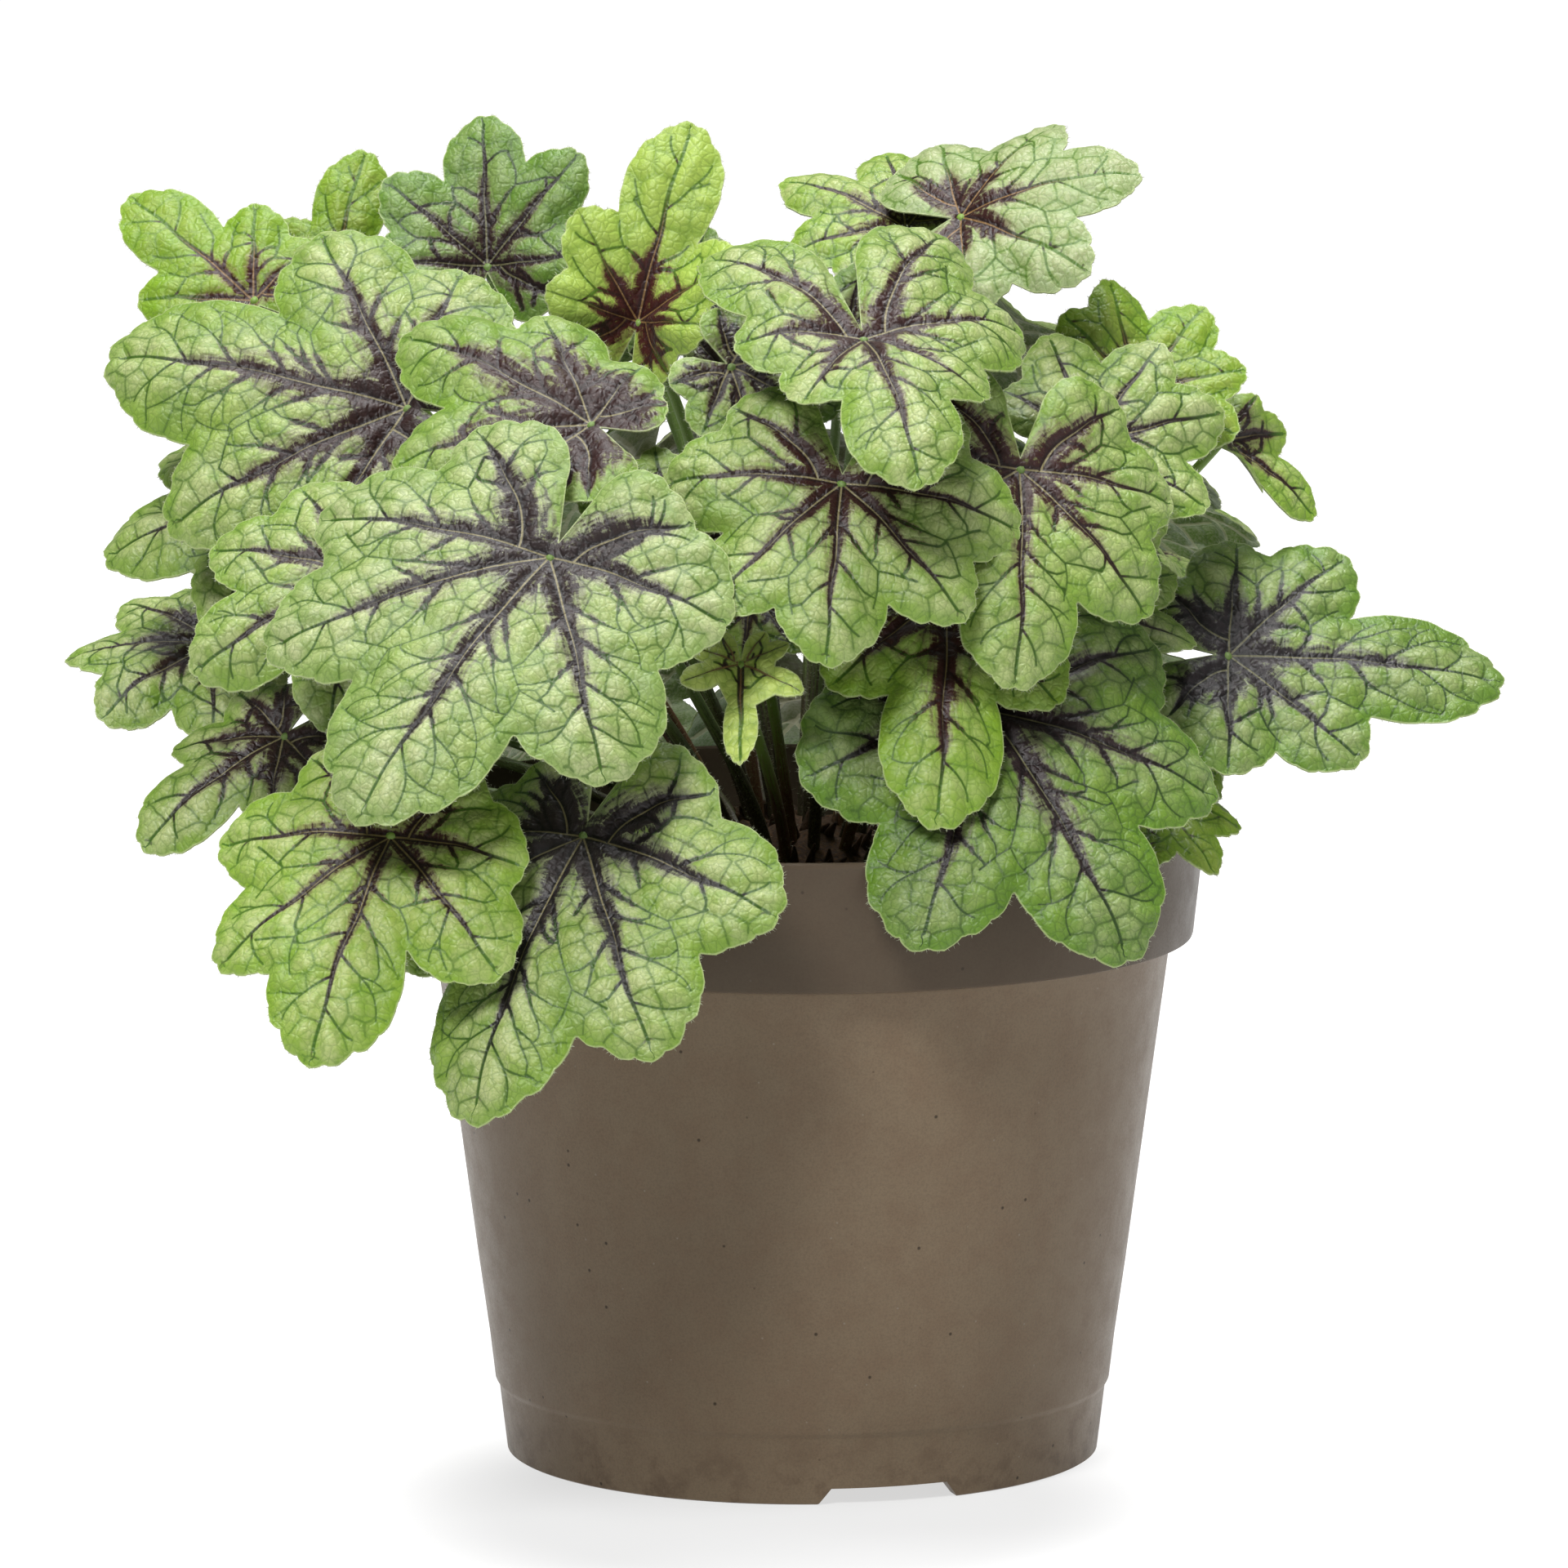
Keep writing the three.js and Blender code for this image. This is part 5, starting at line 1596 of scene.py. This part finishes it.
def crown_piece(material):
    """The woody crown, rough with the scales and stubs of old stalks."""
    rng = np.random.default_rng(8)
    rings = [(r, float(crown_top(r))) for r in np.linspace(26.9, 1.2, 30)]
    verts, faces = turned(CROWN_FOOT + rings[1:] + [(0, float(crown_top(0)))], 120)
    top = verts[:, 2] > 109.5
    verts[top, 2] += 0.7 * lumps(verts[top], 7, 11) - 0.4
    parts = MeshParts()
    parts.add(verts, faces, 0)
    for _ in range(BUD_SCALES):
        r = 24 * math.sqrt(rng.random())
        a = rng.uniform(0, 2 * math.pi)
        start = on_circle(r, a, float(crown_top(r)) - 1.2)
        way = unit(on_circle(r, a, 24) / 30 + rng.normal(scale=0.25, size=3))
        t = np.linspace(0, 1, SCALE_POINTS)[:, None]
        line = start + way * t * rng.uniform(3, 6.5)
        parts.add(*tube(line, np.linspace(1.3, 0.25, SCALE_POINTS) * rng.uniform(0.7, 1.1), 7), 0)
    dress(parts.make("plant_crown", [material]), "crown")


def crown_material():
    g = Graph("woody_crown")
    place = g.places()
    fibre = g.noise(g.vector_math("MULTIPLY", {0: place, 1: (1.0, 1.0, 0.3)}), 1.3, 4.0, 0.7)
    patch = g.noise(place, 0.2, 3.0)
    skin = g.mix(g.step(fibre, 0.3, 0.7), linear("33241a"), linear("6f5234"))
    skin = g.mix(g.step(patch, 0.5, 0.75, 0.0, 0.6), skin, linear("57432f"))
    g.bump(fibre, 0.0006, 0.9)
    return g.finish(skin, g.step(fibre, 0.3, 0.7, 0.75, 0.95), Specular_IOR_Level=0.3)


# ---- stage ----
# in millimetres, as fitted to the pot in the photo
CAMERA_PLACE = np.array([0.0, -2106.7, 436.5])
CAMERA_TARGET = np.array([-3.4, 0.0, 124.3])
CAMERA_LENS = 264.56
SENSOR_WIDTH = 36.0
# in metres from here on
CAMERA_REACH = 50.0
FLOOR_HALF = 12.0
WORLD_LIGHT = 0.15
WHITE = (1, 1, 1, 1)
# place, width and power in watts of each lamp, all turned to the middle of the plant
LAMPS = {
    "key": ((-0.62, -1.4, 1.9), 0.8, 57),
    "top": ((0.1, 0.3, 2.3), 1.2, 60),
    "fill": ((1.6, -1.4, 0.8), 1.4, 5),
}
LAMP_TARGET = Vector((0, 0, 0.12))


def metres(point):
    return Vector((np.asarray(point, float) / 1000 + AXIS).tolist())


def put_camera(scene):
    data = bpy.data.cameras.new("camera")
    data.lens, data.sensor_width, data.clip_end = CAMERA_LENS, SENSOR_WIDTH, CAMERA_REACH
    camera = bpy.data.objects.new("camera", data)
    camera.location = metres(CAMERA_PLACE)
    way = metres(CAMERA_TARGET) - camera.location
    camera.rotation_euler = way.to_track_quat("-Z", "Y").to_euler()
    scene.collection.objects.link(camera)
    scene.camera = camera


def put_lamp(scene, name, place, size, power):
    data = bpy.data.lights.new(name, "AREA")
    data.shape, data.size, data.energy = "DISK", size, power
    made = bpy.data.objects.new(name, data)
    made.location = place
    made.rotation_euler = (LAMP_TARGET - Vector(place)).to_track_quat("-Z", "Y").to_euler()
    scene.collection.objects.link(made)


def floor_material():
    """Pale grey that glows to white, except in an oval round the pot, where its shadow falls."""
    g = Graph("floor")
    place = g.places(1.0)
    cloud = g.noise(place, 10.0, 2.0)
    front = g.vector_math("ADD", {0: place, 1: (0.0, 0.062, 0.0)})
    oval = g.vector_math("MULTIPLY", {0: front, 1: (1.1, 1.0, 1.0)})
    far = g.vector_math("LENGTH", {0: oval}, 1)
    g.shader.inputs["Emission Color"].default_value = WHITE
    g.put(g.shader.inputs["Emission Strength"], g.step(far, 0.05, 0.1, 0.64, 0.97))
    grey = g.mix(cloud, (0.2, 0.2, 0.2, 1), (0.22, 0.22, 0.22, 1))
    return g.finish(grey, 0.95, Specular_IOR_Level=0.1)


def put_floor(scene):
    mesh = bpy.data.meshes.new("floor")
    corners = [(-1, -1), (1, -1), (1, 1), (-1, 1)]
    mesh.from_pydata([(x * FLOOR_HALF, y * FLOOR_HALF, 0) for x, y in corners], [], [(0, 1, 2, 3)])
    mesh.materials.append(floor_material())
    floor = bpy.data.objects.new("floor", mesh)
    scene.collection.objects.link(floor)


def stage():
    scene = bpy.context.scene
    scene.view_settings.view_transform = "Standard"
    put_camera(scene)
    scene.world = bpy.data.worlds.new("studio")
    scene.world.use_nodes = True
    background = scene.world.node_tree.nodes["Background"]
    background.inputs["Color"].default_value = WHITE
    background.inputs["Strength"].default_value = WORLD_LIGHT
    put_floor(scene)
    for name, (place, size, power) in LAMPS.items():
        put_lamp(scene, name, place, size, power)


def build():
    stage()
    hair = hair_material()
    materials = {
        age: [upper_material(age), under_material(age), stalk_material(age), hair]
        for age in LEAF_COLOURS
    }
    pot_piece(pot_material())
    soil_piece(soil_material())
    crown_piece(crown_material())
    for leaf in all_leaves():
        make_leaf(leaf, materials[leaf.age])


build()
